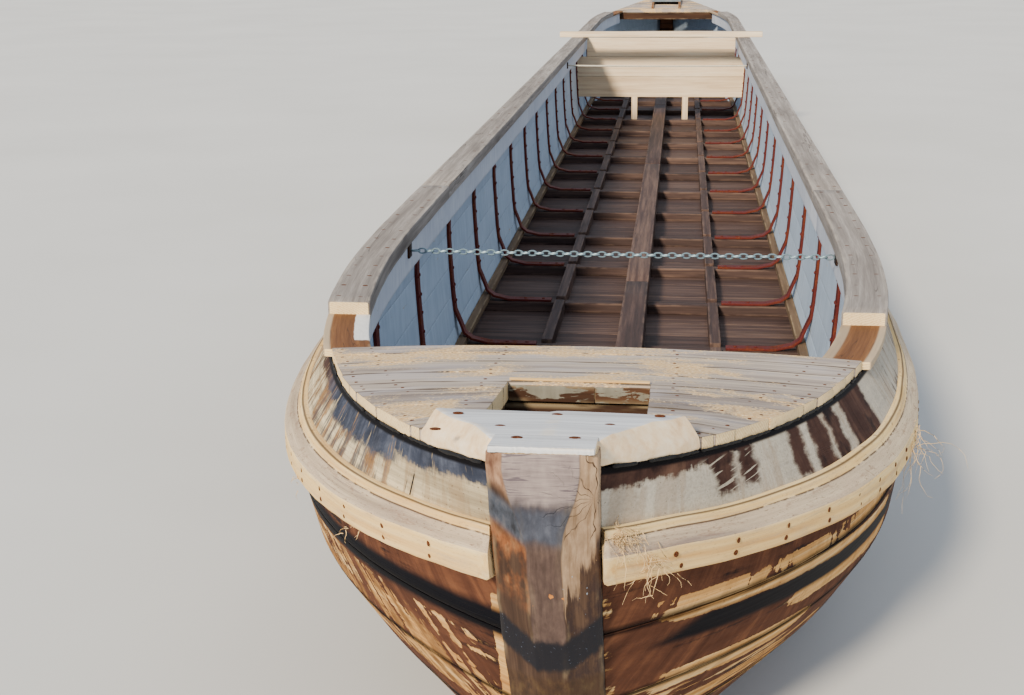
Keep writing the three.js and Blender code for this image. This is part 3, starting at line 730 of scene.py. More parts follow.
@dataclass(frozen=True)
class StemWood:
    """The stem's old oak: worn grey at its head, scraped to the wood in places, with painted shade and a
    painted shadow band.
    """

    # dark oak, its tones darkened as painted shade
    wood: Timber = Timber("stem_oak", "2c1e18", "4c382c", "745a46", 0.6, 0.7, "1c120d", 0.5)
    nose_low: float = 1.16
    nose_high: float = 1.36
    knot: tuple[float, float] = (0.098, 1.288)

    def material(self) -> bpy.types.Material:
        """Makes the finish.

        Returns:
            The material.
        """
        b = Bench("stem_wood")
        wood, relief = self.wood.grain(b)
        x, z, _ = b.axes(b.place("hull"))
        lay = b.place()
        cloud = b.mottle(lay, (7, 14, 14), 4, 0.6)
        fine = b.mottle(lay, (26, 60, 60), 4, 0.6)
        lines = b.mottle(lay, (120, 9, 9), 3, 0.55, 0.6)
        runs = b.mottle(lay, (5, 75, 75), 4, 0.62, 0.3)
        nose = b.step(z, self.nose_low, self.nose_high) * 0.038 + 0.032
        right = b.step(x - nose, -0.001, 0.004)
        left = b.step(x * -1 - nose, -0.001, 0.004)
        front = 1 - (right | left)
        height = z + (cloud - 0.5) * 0.05
        # the worn head, a patch of painted shade below it, and the brown face under that
        head = front * b.step(height, 1.265, 1.29)
        grey = b.tones(cloud * 0.5 + lines * 0.5, "5f5354", "928480", "bcaca0")
        scored = b.step(lines, 0.56, 0.62) * 0.75
        colour = b.blend(head, wood, b.blend(scored, grey, "453c48"))
        # painted shade: a blue patch across the front below the head
        patch = front * b.window(height, 1.185, 1.275, 0.022) * 0.85
        blue = b.tones(fine * 0.6 + cloud * 0.4, "2a303c", "474e5c", "666d7c")
        colour = b.blend(patch, colour, blue)
        lower = front * b.window(height, 0.9, 1.19, 0.015)
        brown = b.tones(cloud * 0.4 + fine * 0.6, "453733", "69564f", "867063")
        colour = b.blend(lower * 0.75, colour, brown)
        colour = b.blend(lower * b.step(runs * 0.6 + cloud * 0.4, 0.47, 0.62) * 0.55, colour, "362a26")
        # the left chamfer: pinkish head, a slanting blue-grey patch of painted shade, bare orange wood
        slant = z + x * 0.7 + (cloud - 0.5) * 0.03
        pinkish = left * b.step(slant, 1.24, 1.27) * 0.8
        shaded_slant = left * b.window(slant, 1.16, 1.235, 0.012) * 0.9
        bare = left * b.window(slant, 0.99, 1.15, 0.03) * b.step(cloud, 0.36, 0.56) * 0.85
        colour = b.blend(pinkish, colour, b.tones(fine, "6e4c3a", "a47d62", "cfa684"))
        colour = b.blend(shaded_slant, colour, b.tones(fine, "2b3038", "4b525e", "6a6a70"))
        colour = b.blend(bare, colour, b.tones(fine, "6e3f22", "a5653a", "c48a5a"))
        # the right chamfer: a pale oval with checks that fan out from a knot at its edge
        dx, dz = x - self.knot[0], z - self.knot[1]
        far = b.maths("SQRT", dx**2 + dz**2)
        bend = b.mottle(lay, (18, 30, 30), 2)
        angle = b.maths("ARCTAN2", dz, dx * -1) + (bend - 0.5) * 0.9
        fan = abs(b.maths("FRACT", angle * 2.3) - 0.5)
        ray = (1 - b.step(fan, 0.015, 0.07)) * b.window(far, 0.012, 0.1, 0.012)
        ray = ray * b.step(cloud + fine * 0.3, 0.5, 0.7)
        foot = z - x * 1.9 + (fine - 0.5) * 0.05 + (runs - 0.5) * 0.3
        rim = b.step(x + (cloud - 0.5) * 0.012, 0.094, 0.099) * b.step(1.22 - z, 0, 0.05)
        pale = right * b.step(foot, 0.935, 0.975) * (1 - rim)
        cream = b.tones(fine * 0.5 + cloud * 0.5, "80694f", "ae9072", "d2b694")
        cream = b.blend(b.step(runs, 0.46, 0.64) * 0.5, cream, "6d5236")
        colour = b.blend(pale, colour, b.blend(ray, cream, "3b2a20"))
        dark = right * (1 - pale) * b.step(fine, 0.4, 0.6)
        colour = b.blend(dark * 0.55, colour, "2e2226")
        chips = b.step(b.mottle(lay, (60, 120, 120), 2), 0.7, 0.73) * right * b.window(z, 0.95, 1.12, 0.02)
        colour = b.blend(chips * 0.8, colour, "9fb0c0")
        # a painted shadow band, dark navy with pale specks, across the stem
        shadow_band_line = z - (1 - front) * (abs(x) - 0.032) * 0.9 + (fine - 0.5) * 0.03
        band = b.window(shadow_band_line, 0.815, 0.915, 0.012)
        dust = b.step(b.mottle(lay, (150, 150, 150), 2), 0.68, 0.72)
        shadow_navy = b.blend(dust * 0.6, "10121d", "6a7488")
        colour = b.blend(band * 0.95, colour, shadow_navy)
        spots = b.mottle(lay, (34, 50, 50), 2)
        spot = b.step(spots, 0.66, 0.69) * b.window(z, 0.96, 1.06, 0.01) * front
        colour = b.blend(spot, colour, "d98b3f")
        olive = b.step(0.8 - z, 0, 0.03) * 0.55
        colour = b.blend(olive, colour, b.tones(fine, "2a1c12", "4d3620", "6a5432"))
        # painted shade: the whole stem darkened, least at the worn head and the pale oval
        colour = b.blend(0.25 - head * 0.2 - pale * 0.1, colour, b.blend(1.0, colour, "8f7f78", "MULTIPLY"))
        rough = 0.9 - band * 0.2 - patch * 0.1
        return b.coat(colour, rough, relief * 0.6 + lines * (head * 0.8) - ray * 1.4 + fine * 0.2, 0.003)


Finish = (Timber | CutEnd | TarredPlank | FlatPaint | Iron | Fibre | PatchedWood | GuardWood | DustyDeck
          | StemWood)

FINISHES: dict[str, Finish] = {
    "sheer": TarredPlank("tarred_sheer", Where.SHEER, BARE, "271917", "46322c", "6d5142", "0b090f", 0.8),
    "side": TarredPlank("tarred_side", Where.SIDE, SCRAPED),
    "inside": FlatPaint("inner_paint", "bccbdc", "9badc0", BARE, 0.14),
    "inwale": FlatPaint("inwale_paint", "d2d5db", "adb3c0", CAP_WOOD, 0.1),
    "hatch": FlatPaint("hatch_paint", "8d897b", "5d584c", SHADED_HATCH_WOOD, 0.95),
    "lid": FlatPaint("lid_paint", "7e8a90", "5f6c74", CAP_WOOD, 0.5),
    "cut": CutEnd("cut_ends", "f0d6a4", "b98c54"),
    "ledge": GuardWood("guard_ledge", LEDGE_WOOD, 0.75),
    "guard": GuardWood("guard_face", NEW_WOOD, 0.35),
    "deck": DustyDeck(),
    "under_cap": PatchedWood(),
    "chine": Timber("chine_batten", "45362a", "6c5742", "8c745a", 0.4, 0.3),
    "brown": BROWN_WOOD,
    "beam": SHADED_HATCH_WOOD,
    "new": NEW_WOOD,
    "cap": CAP_WOOD,
    "floor": FLOOR_WOOD,
    "ash": ASH,
    "board": BOARD_WOOD,
    "red": Iron("red_iron", "5c1f1b", "7d3b22", "3a1512", 0.35, 0.1, 0.6, 1.0),
    "bolt": Iron("rusty_bolts", "4a2a1c", "7a4526", "24140e", 0.8, 0.3, 0.7, 4.0),
    "dark": Iron("dark_iron", "2a2522", "5c3822", "141110", 0.35, 0.4, 0.5, 1.0),
    "zinc": Iron("chain_zinc", "8fa5ad", "7a6a55", "5b6c74", 0.15, 0.6, 0.42, 3.0),
    "rope": Fibre("rope_fibre", "ece6d6", "a89f8c"),
    "stem": StemWood(),
    # the block's top: a cool grey copy of its cream faces' wood, painted sky-lit shade
    "block_top": Timber("block_top", "a9a8aa", "d3d3d4", "ebebea", 0.7, 0.5, "8a7a6c", 0.3, 0.7,
                        "e8d2ae", 0.3),
    "block": Timber("block_faces", "d6ab7c", "f4d6aa", "ffedcf", 0.35, 0.15, "a07a58", 0.2, 0.7,
                    "f2e6d0", 0.2),
    "pitch": Iron("pitch", "0b0a0d", "1d1512", "060608", 0.2, 0.0, 0.62, 2.0),
    "oakum": Fibre("oakum_fibre", "f0d9ac", "b58a54"),
}


@cache
def made(name: str) -> bpy.types.Material:
    """Makes a finish when it is first asked for."""
    return FINISHES[name].material()


def circle(count: int) -> list[tuple[float, float]]:
    """Gives the cosine and sine of equal steps round a circle."""
    return [(math.cos(TURN * i / count), math.sin(TURN * i / count)) for i in range(count)]


def level(x0: float, x1: float, z0: float, z1: float) -> tuple[tuple[float, float], ...]:
    """Gives the corners of a rectangle, its first side first."""
    return (x0, z0), (x1, z0), (x1, z1), (x0, z1)


def upright(x0: float, x1: float, z0: float, z1: float) -> tuple[tuple[float, float], ...]:
    """Gives the corners of a rectangle, its second side first."""
    return (x0, z0), (x0, z1), (x1, z1), (x1, z0)


def corner(x: float, s: float, z: float, lay: Spot, hull: Spot = (0, 0, 0)) -> np.ndarray:
    """Writes one corner of a ring: where it is, its place in the timber and its place on the hull."""
    return np.array([x, y_at(s), z, *lay, *hull], float)


def wander(points: np.ndarray, amount: float, pitch: float, seed: int) -> np.ndarray:
    """Shifts points a little, smoothly, the same way on every run.

    Args:
        points: Rows of x, y, z.
        amount: The largest shift, roughly.
        pitch: Length of a wave.
        seed: Which waves.

    Returns:
        The shifted points.
    """
    rng = np.random.default_rng(seed)
    out = points.copy()
    for octave in range(3):
        k = rng.normal(size=(3, 3)) * (TURN / pitch) * (1.9**octave) * 0.6
        phase = rng.uniform(0, 6.28, 3)
        out += np.sin(points @ k.T + phase) * amount / (1.8**octave)
    return out


@dataclass(frozen=True)
class Edges:
    """How far a timber's edges are worn, and how far its faces wander."""

    radius: float | Spot = 0.004
    fade: float = 0.01
    steps: int = 2
    uneven: float = 0.0
    pitch: float = 0.5
    seed: int = 1

    def soften(self, ring: Sequence[np.ndarray]) -> Ring:
        """Rounds the corners of a closed ring and marks them as worn.

        Args:
            ring: Its corners.

        Returns:
            The longer ring, with the wear as a tenth column.
        """
        rows = []
        sizes = [self.radius] * len(ring) if isinstance(self.radius, float) else self.radius
        for k, size in enumerate(sizes):
            here, near, far = ring[k], [], []
            for way in (ring[k - 1] - here, ring[(k + 1) % len(ring)] - here):
                length = np.linalg.norm(way[:3])
                cut = min(size, 0.42 * length)
                near.append(here + way * (cut / max(length, 1e-9)))
                far.append(np.append(here + way * min(0.48, (cut + self.fade) / max(length, 1e-9)), 0.0))
            rows.append(far[0])
            for j in range(self.steps + 1):
                t = j / self.steps
                rows.append(np.append(near[0] * (1 - t) ** 2 + here * 2 * t * (1 - t) + near[1] * t**2, 1.0))
            rows.append(far[1])
        made = np.array(rows)
        if self.uneven:
            made[:, :3] = wander(made[:, :3], self.uneven, self.pitch, self.seed)
        return made

    def strips(self, corners: int, first: int, last: int, on: int, off: int = 0) -> list[int]:
        """Gives the faces between two corners of a softened ring a finish of their own.

        Args:
            corners: How many corners the ring had.
            first: The corner where that finish starts.
            last: The corner where it stops.
            on: That finish.
            off: The finish of the other faces.

        Returns:
            A finish for each strip.
        """
        per = self.steps + 3
        start, stop = first * per + self.steps, last * per + self.steps
        return [on if start <= j < stop else off for j in range(corners * per)]


@dataclass
class Shell:
    """Grows one mesh, with each point's place in its timber, and each face's finish."""

    rows: list[np.ndarray] = field(default_factory=list)
    tone: list[float] = field(default_factory=list)
    faces: list[tuple[int, ...]] = field(default_factory=list)
    finish: list[int] = field(default_factory=list)
    sharp: float = math.radians(38)

    def loft(self, rings: Sequence[Ring], finish: int | Sequence[int] = 0, end: int = 0, tone: float = 0.5,
             round_end: float = 0.003, ends: bool = True, loop: bool = False) -> None:
        """Adds a closed body through rings of equal length.

        Args:
            rings: Rings of ten columns.
            finish: The finish of the sides, or one for each strip between two points of a ring.
            end: The finish of the two ends.
            tone: The timber's own tone.
            round_end: How far the ends' edges are worn.
            ends: Whether the ends are closed.
            loop: Whether the last ring joins the first.
        """
        ends = ends and not loop
        body = [np.array(r) for r in rings]
        if ends:
            for at, inner in ((0, 1), (-1, -2)):
                span = np.linalg.norm((body[inner] - body[at])[:, :3], axis=1).mean()
                tip = body[at].copy()
                middle = tip.mean(0)
                reach = np.linalg.norm((tip - middle)[:, :3], axis=1).mean()
                tip = tip + (middle - tip) * min(0.3, round_end / max(reach, 1e-6))
                tip[:, 9] = 1.0
                body[at] = body[at] + (body[inner] - body[at]) * min(0.4, round_end / max(span, 1e-6))
                body.insert(0 if at == 0 else len(body), tip)
        start = sum(len(r) for r in self.rows)
        n = len(body[0])
        strips = [finish] * n if isinstance(finish, int) else list(finish)
        for r in range(len(body) if loop else len(body) - 1):
            on = start + (r + 1) % len(body) * n
            for i in range(n):
                a, b = start + r * n + i, start + r * n + (i + 1) % n
                self.faces.append((a, b, on + (i + 1) % n, on + i))
                self.finish.append(strips[i])
        if ends:
            last = start + (len(body) - 1) * n
            self.faces.append(tuple(range(start + n - 1, start - 1, -1)))
            self.faces.append(tuple(range(last, last + n)))
            self.finish += [end, end]
        self.rows += body
        self.tone += [tone] * (n * len(body))

    def plank(self, sections: Iterable[Sequence[np.ndarray]], edges: Edges, finish: int | Sequence[int] = 0,
              end: int = 0, tone: float = 0.5, round_end: float = 0.003, loop: bool = False) -> None:
        """Adds a timber through rings of corners.

        Args:
            sections: The rings of corners.
            edges: How its edges are worn.
            finish: The finish of the sides, or one for each strip.
            end: The finish of the two ends.
            tone: The timber's own tone.
            round_end: How far the ends' edges are worn.
            loop: Whether the last ring joins the first.
        """
        self.loft([edges.soften(ring) for ring in sections], finish, end, tone, round_end, loop=loop)

    def bar(self, a: Spot, b: Spot, width: float, thick: float, edges: Edges = Edges(), finish: int = 0,
            end: int = 0, tone: float = 0.5, rings: int = 2, up: Spot = UPWARD) -> None:
        """Adds a straight squared timber or bar between two points.

        Args:
            a: Middle of its first end: x, distance aft and height.
            b: Middle of its other end.
            width: Its size across.
            thick: Its size along up.
            edges: How its edges are worn.
            finish: The finish of its sides.
            end: The finish of its ends.
            tone: The timber's own tone.
            rings: Rings along it.
            up: Roughly which way is up.
        """
        start, stop = (Vector((x, y_at(s), z)) for x, s, z in (a, b))
        along = (stop - start).normalized()
        across = along.cross(Vector(up)).normalized()
        lift = across.cross(along).normalized()
        length = (stop - start).length
        sections = []
        for i in range(rings):
            middle = start + (stop - start) * (i / (rings - 1))
            ring = []
            for u, v in level(-0.5, 0.5, -0.5, 0.5):
                p = middle + across * (u * width) + lift * (v * thick)
                ring.append(np.array([*p, length * i / (rings - 1), u * width + tone, v * thick, 0, 0, 0]))
            sections.append(ring)
        self.plank(sections, edges, finish, end, tone, edges.radius)

    def button(self, at: Spot, normal: Spot, radius: float, height: float, finish: int = 0,
               squash: float = 1.0, sides: int = 8) -> None:
        """Adds a low domed head of a bolt, nail or rivet.

        Args:
            at: The middle of its foot: x, distance aft and height.
            normal: Which way it faces.
            radius: Its radius.
            height: How far it stands out.
            finish: Its finish.
            squash: Its breadth for its length.
            sides: Pieces of its rim.
        """
        turn = Vector(normal).to_track_quat("Z", "Y").to_matrix()
        start = sum(len(r) for r in self.rows)
        foot = (at[0], y_at(at[1]), at[2])
        points = [(radius * share * c, radius * share * squash * s, height * lift, wear)
                  for share, lift, wear in ((1.0, -0.4, 0.0), (1.0, 0.35, 0.6), (0.72, 0.85, 1.0))
                  for c, s in circle(sides)]
        rows = []
        for *place, wear in (*points, (0, 0, height, 1.0)):
            flat = Vector(place)
            p = turn @ flat
            rows.append([foot[0] + p.x, foot[1] + p.y, foot[2] + p.z,
                         foot[0] + flat.x, foot[1] + flat.y, flat.z, 0, 0, 0, wear])
        for r in range(3):
            for i in range(sides):
                a, b = start + r * sides + i, start + r * sides + (i + 1) % sides
                self.faces.append((a, b, b + sides, a + sides) if r < 2 else (a, b, start + 3 * sides))
                self.finish.append(finish)
        self.rows.append(np.array(rows))
        self.tone += [0.5] * len(rows)

    def build(self, name: str, finishes: Sequence[str], slot: str, *nodes: str, body: str = "hull") -> None:
        """Makes the object, sets it on its body and reports it.

        Args:
            name: The piece's name.
            finishes: Its finishes, in the order of the faces' numbers.
            slot: The record's material slot; not used.
            nodes: The CAD nodes that it stands for.
            body: The CAD body that it rides on.
        """
        data = np.vstack(self.rows)
        mesh = bpy.data.meshes.new(name)
        mesh.from_pydata(data[:, :3].tolist(), [], self.faces)
        for key, low in (("lay", 3), ("hull", 6)):
            mesh.attributes.new(key, "FLOAT_VECTOR", "POINT").data.foreach_set(
                "vector", data[:, low : low + 3].astype(np.float32).ravel())
        for key, values in (("wear", data[:, 9]), ("tone", self.tone)):
            mesh.attributes.new(key, "FLOAT", "POINT").data.foreach_set("value", np.array(values, np.float32))
        for finish in finishes:
            mesh.materials.append(made(finish))
        mesh.polygons.foreach_set("material_index", np.array(self.finish, np.int32))
        mesh.validate()
        shape = bmesh.new()
        shape.from_mesh(mesh)
        bmesh.ops.recalc_face_normals(shape, faces=shape.faces)
        shape.to_mesh(mesh)
        shape.free()
        mesh.shade_smooth()
        mesh.set_sharp_from_angle(angle=self.sharp)
        piece = show(name, mesh)
        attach(piece, body)
        if nodes:
            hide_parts(*nodes)
        LOG.info("%s: %d faces on %s", piece.name, len(mesh.polygons), body)


def show(name: str, data: bpy.types.ID) -> bpy.types.Object:
    """Makes an object of a mesh, a light or a camera.

    Args:
        name: Its name.
        data: What it shows.

    Returns:
        The object, in the scene.
    """
    thing = bpy.data.objects.new(name, data)
    bpy.context.scene.collection.objects.link(thing)
    return thing


@dataclass(frozen=True)
class End:
    """The lines of one end of the hull."""

    name: str
    rake: float
    rake_power: float
    set_back: float
    rise: float

    def face(self, w: float) -> float:
        """Gives the post's face at a share of the height, from the end."""
        return self.rake * (1 - min(1.0, w)) ** self.rake_power

    def aft(self, d: float) -> float:
        """Turns a distance from this end into a distance aft."""
        return d if self.name == "bow" else HULL_LENGTH - d


BOW = End("bow", 0.855, 1.45, 0.09, 0.32)
STERN = End("stern", 0.0, 1.0, 0.09, 0.24)


@dataclass(frozen=True)
class HullLines:
    """The hull's form: rows of share, breadth amidships, and run and power of the entry at bow and stern."""

    bottom: float = 0.05
    side_top: float = 1.034
    sheer_run: float = 4.0
    sheer_power: float = 3.5
    end_run: float = 5.4
    near: float = 0.002
    rows: tuple[tuple[float, ...], ...] = (
        (0.0, 0.970, 4.6, 2.4, 5.7, 2.6),
        (0.17, 0.998, 3.7, 2.9, 5.0, 2.9),
        (0.34, 1.016, 3.2, 3.2, 4.3, 3.1),
        (0.5, 1.026, 3.2, 3.6, 3.9, 3.4),
        (0.684, 1.035, 3.6, 4.0, 3.9, 3.8),
        (0.84, 1.031, 3.9, 4.0, 3.9, 4.0),
        (1.0, 0.988, 3.9, 3.0, 3.9, 3.0),
    )

    def end(self, s: float) -> End:
        """Says which end is nearer."""
        return BOW if s < HULL_LENGTH / 2 else STERN

    def from_end(self, s: float) -> float:
        """Gives the distance from the nearer end."""
        return self.end(s).aft(s)

    def sheer(self, s: float) -> float:
        """Gives the height of the planking's top edge."""
        share = min(1.0, max(0.0, 1 - self.from_end(s) / self.sheer_run))
        return self.side_top + self.end(s).rise * share**self.sheer_power

    def half(self, end: End, w: float, d: float) -> float:
        """Gives the half-breadth.

        Args:
            end: The end of the boat.
            w: Share of the side's height.
            d: Distance from that end.

        Returns:
            The distance of the planking's outside from the middle line.
        """
        k = 1
        while k < len(self.rows) - 1 and self.rows[k][0] < w - 1e-9:
            k += 1
        found = []
        for row in self.rows[k - 1 : k + 1]:
            run, power = (row[2], row[3]) if end is BOW else (row[4], row[5])
            t = min(1.0, max(0.0, (d - end.face(w) - end.set_back) / run))
            found.append(POST_HALF + (row[1] - POST_HALF) * (1 - (1 - t) ** power))
        share = (w - self.rows[k - 1][0]) / (self.rows[k][0] - self.rows[k - 1][0])
        return found[0] + (found[1] - found[0]) * share

    def side_half(self, s: float, w: float = 1.0) -> float:
        """Gives the half-breadth at a distance aft, of the planking's top edge where w isn't given."""
        return self.half(self.end(s), w, self.from_end(s))

    def skin(self, end: End, w: float, u: float, inset: float) -> tuple[float, float]:
        """Gives a point of the planking.

        Args:
            end: The end of the boat.
            w: Share of the side's height.
            u: Distance from the post's planking line.
            inset: How far inside the outer face, along the plan normal.

        Returns:
            Its half-breadth and its distance from the end.
        """
        start = end.face(w) + end.set_back
        d = start + u * (self.end_run - start) / self.end_run
        x = self.half(end, w, d)
        low = max(start, d - self.near)
        slope = (self.half(end, w, d + self.near) - self.half(end, w, low)) / (d + self.near - low)
        length = math.hypot(1, slope)
        return x - inset / length, d + inset * slope / length

    def inset_start(self, end: End, w: float, inset: float) -> float:
        """Finds where an inset line meets the side of the post.

        Args:
            end: The end of the boat.
            w: Share of the side's height.
            inset: How far inside the outer face.

        Returns:
            Its distance from the post's planking line.
        """
        low, high = 0.0, 0.9
        for _ in range(30):
            u = (low + high) / 2
            if self.skin(end, w, u, inset)[0] < POST_HALF:
                low = u
            else:
                high = u
        return high

    def line(self, w: float, inset: float, stations: Spot) -> list[tuple[float, float, float]]:
        """Runs a line from bow to stern.

        Args:
            w: Share of the side's height.
            inset: How far inside the outer face.
            stations: Distances from each post's planking line.

        Returns:
            Points of half-breadth, distance aft and height.
        """
        points = []
        for end in (BOW, STERN):
            first = self.inset_start(end, w, inset) if inset > 0 else 0.0
            part = []
            for u in stations:
                x, d = self.skin(end, w, first + u * (self.end_run - first) / self.end_run, inset)
                s = end.aft(d)
                part.append((x if u else POST_HALF, s, self.bottom + (self.sheer(s) - self.bottom) * w))
            points += part if end is BOW else part[::-1]
        return points


LINES = HullLines()
CLOSE_STATIONS = tuple(round(LINES.end_run * (i / 64) ** 1.7, 4) for i in range(65))
HINGE_AT = HULL_LENGTH + 0.043
HINGES = (0.48, 1.01)


@dataclass
class Planking:
    """Six strakes a side and the cross-laid bottom boards."""

    seam_round: float = 0.007
    inner_round: float = 0.0012
    board_width: float = 0.31
    board_thick: float = 0.0497
    board_gap: float = 0.002
    shares: tuple[float, ...] = (0.0, 0.17, 0.34, 0.5, 0.684, 0.84, 1.0)

    def strakes(self) -> None:
        """Builds each strake as one long plank, tarred outside and painted inside."""
        inside = Edges().strips(4, 2, 3, 1)
        for side_name, side in SIDES:
            for i, (low, high) in enumerate(zip(self.shares, self.shares[1:])):
                heights = (low, high, high, low)
                lines = [LINES.line(w, inset, CLOSE_STATIONS)
                         for w, inset in zip(heights, (0, 0, PLANK, PLANK))]
                rings = []
                for k, points in enumerate(zip(*lines)):
                    places = level(0, (high - low) * (points[0][2] + 0.9), 0, PLANK)
                    ring = [corner(side * x, s, z, (s, across + low * 3, depth), (s, w, side))
                            for (x, s, z), (across, depth), w in zip(points, places, heights)]
                    outer = self.seam_round * (1 if k % 2 else 1.2)
                    worn = (outer, outer, self.inner_round, self.inner_round)
                    rings.append(Edges(worn, 0.014).soften(ring))
                shell = Shell()
                shell.loft(rings, inside, 0, 0.2 + 0.13 * i + 0.05 * side)
                name, tar = f"{side_name}_strake_{i + 1}", "sheer" if i == 5 else "side"
                shell.build(f"{name}_planking", (tar, "inside"), "tarred_wood", name)

    def bottom(self) -> None:
        """Builds the bottom from boards laid across the boat, each in two parts beside a post."""
        rng = random.Random(4)
        shell = Shell()
        clear = POST_HALF + 0.0005
        first, last = BOW.face(0) + 0.02 + Posts.stem_depth, HULL_LENGTH - Posts.stern_depth
        s, stop = BOW.face(0) + BOW.set_back, HULL_LENGTH - STERN.set_back
        while s < stop - 0.02:
            ahead = min(stop, s + self.board_width * rng.uniform(0.85, 1.15))
            if stop - ahead < 0.12:
                ahead = stop
            for side in (-1, 1) if s < first or ahead > last else (0,):
                sections = []
                for i in range(5):
                    ring = []
                    for d, z in level(s, ahead - self.board_gap, 0.0, self.board_thick):
                        half = max(clear, LINES.side_half(d, 0) - 0.001)
                        right, left = clear + (half - POST_HALF) * i / 4, -half + (half - POST_HALF) * i / 4
                        x = (half * (-1 + 2 * i / 4), right, left)[side]
                        ring.append(corner(x, d, z, (x, d, 0.05 if z else 0)))
                    sections.append(ring)
                shell.plank(sections, Edges(0.003), tone=rng.random(), round_end=0.002)
            s = ahead
        shell.build("bottom_board_planks", ("floor",), "tarred_wood", "bottom_boards")

    def build(self) -> None:
        """Builds it all."""
        self.strakes()
        self.bottom()


@dataclass
class Gunwales:
    """Caps, the thinner pieces under them towards the decks, inwales, and their fastenings."""

    cap_start: float = 2.035
    cap_joint: float = 4.4
    cap_thick: float = 0.066
    cap_out: float = 0.024
    cap_width: float = 0.14
    under_thick: float = 0.024
    inwale_high: float = 0.143
    inwale_thick: float = 0.048
    deck_end: float = 1.52
    gap: float = 0.0003

    def stations(self, s0: float, s1: float) -> list[float]:
        """Places rings closer together where the side curves.

        Args:
            s0: Where they start.
            s1: Where they end.

        Returns:
            Distances aft.
        """
        out, s = [s0], s0
        while s < s1:
            s += 0.09 if LINES.from_end(s) < 4.2 else 0.6
            out.append(min(s, s1))
        return out

    def rail(self, shell: Shell, span: Spot, insets: Spot, lifts: Spot, side: int, end: int, tone: float,
             radius: float) -> None:
        """Adds a length of rail that follows the planking's top edge.

        Args:
            shell: The mesh that it joins.
            span: Where it starts and ends.
            insets: Insets of its outer and inner faces; negative is outside the planking.
            lifts: Its underside and its top, over the sheer.
            side: -1 at the left, 1 at the right.
            end: The finish of its ends.
            tone: The timber's own tone.
            radius: How far its edges are worn.
        """
        sections = []
        for s in self.stations(*span):
            slope = (LINES.side_half(s + 0.002) - LINES.side_half(s - 0.002)) / 0.004
            length = math.hypot(1, slope)
            sections.append([corner(side * (LINES.side_half(s) - inset * length), s, LINES.sheer(s) + lift,
                                    (s, inset, lift + tone), (s, inset, side))
                             for inset, lift in upright(*insets, *lifts)])
        shell.plank(sections, Edges(radius, 0.012, 2, radius * 0.12, 0.35, 3 + side), 0, end, tone, radius)

    def build(self) -> None:
        """Builds it all."""
        start, joint, gap = self.cap_start, self.cap_joint, self.gap
        lengths = (("bow", start, joint), ("mid", joint, HULL_LENGTH - joint),
                   ("stern", HULL_LENGTH - joint, HULL_LENGTH - start))
        ends = (("bow", self.deck_end, start), ("stern", HULL_LENGTH - start, HULL_LENGTH - self.deck_end))
        cap = (-self.cap_out, self.cap_width - self.cap_out)
        inwale = (PLANK + 0.0004, PLANK + self.inwale_thick)
        for side_name, side in SIDES:
            for k, (part, s0, s1) in enumerate(lengths):
                name = f"{side_name}_{part}"
                shell = Shell()
                self.rail(shell, (s0 + gap, s1 - gap), cap, (gap, self.cap_thick), side, 1,
                          0.3 + 0.2 * k + 0.07 * side, 0.006)
                self.fastenings(shell, s0, s1, side)
                shell.build(f"{name}_cap_rail", ("cap", "cut", "bolt"), "weathered_wood", f"{name}_cap")
                shell = Shell()
                a = self.deck_end + 0.06 if part == "bow" else s0 + gap
                b = HULL_LENGTH - self.deck_end - 0.06 if part == "stern" else s1 - gap
                self.rail(shell, (a, b), inwale, (-self.inwale_high, -gap), side, 0, 0.6 - 0.1 * k, 0.004)
                shell.build(f"{name}_inwale_plank", ("inwale",), "painted_wood", f"{name}_inwale")
            for part, s0, s1 in ends:
                name = f"{side_name}_{part}"
                shell = Shell()
                self.rail(shell, (s0 + 2 * gap, s1 - 2 * gap), cap, (gap, self.under_thick), side, 1,
                          0.4, 0.003)
                shell.build(f"{name}_under_cap_plank", ("under_cap", "cut"), "weathered_wood",
                            f"{name}_undercap")

    def fastenings(self, shell: Shell, s0: float, s1: float, side: int) -> None:
        """Adds the pairs of flat rusty heads on a cap.

        Args:
            shell: The mesh that they join.
            s0: Where the cap starts.
            s1: Where it ends.
            side: -1 at the left, 1 at the right.
        """
        rng = random.Random(int(s0 * 100) + side)
        s = s0 + 0.09
        while s < s1 - 0.06:
            for inset in (0.006, 0.082):
                if rng.random() < 0.93:
                    x = side * (LINES.side_half(s) - inset)
                    at = (x, s + rng.uniform(-0.01, 0.01), LINES.sheer(s) + self.cap_thick)
                    shell.button(at, UPWARD, 0.0095, 0.0012, 2, 0.4)
            s += 0.17 if LINES.from_end(s) < 4.4 else 0.34


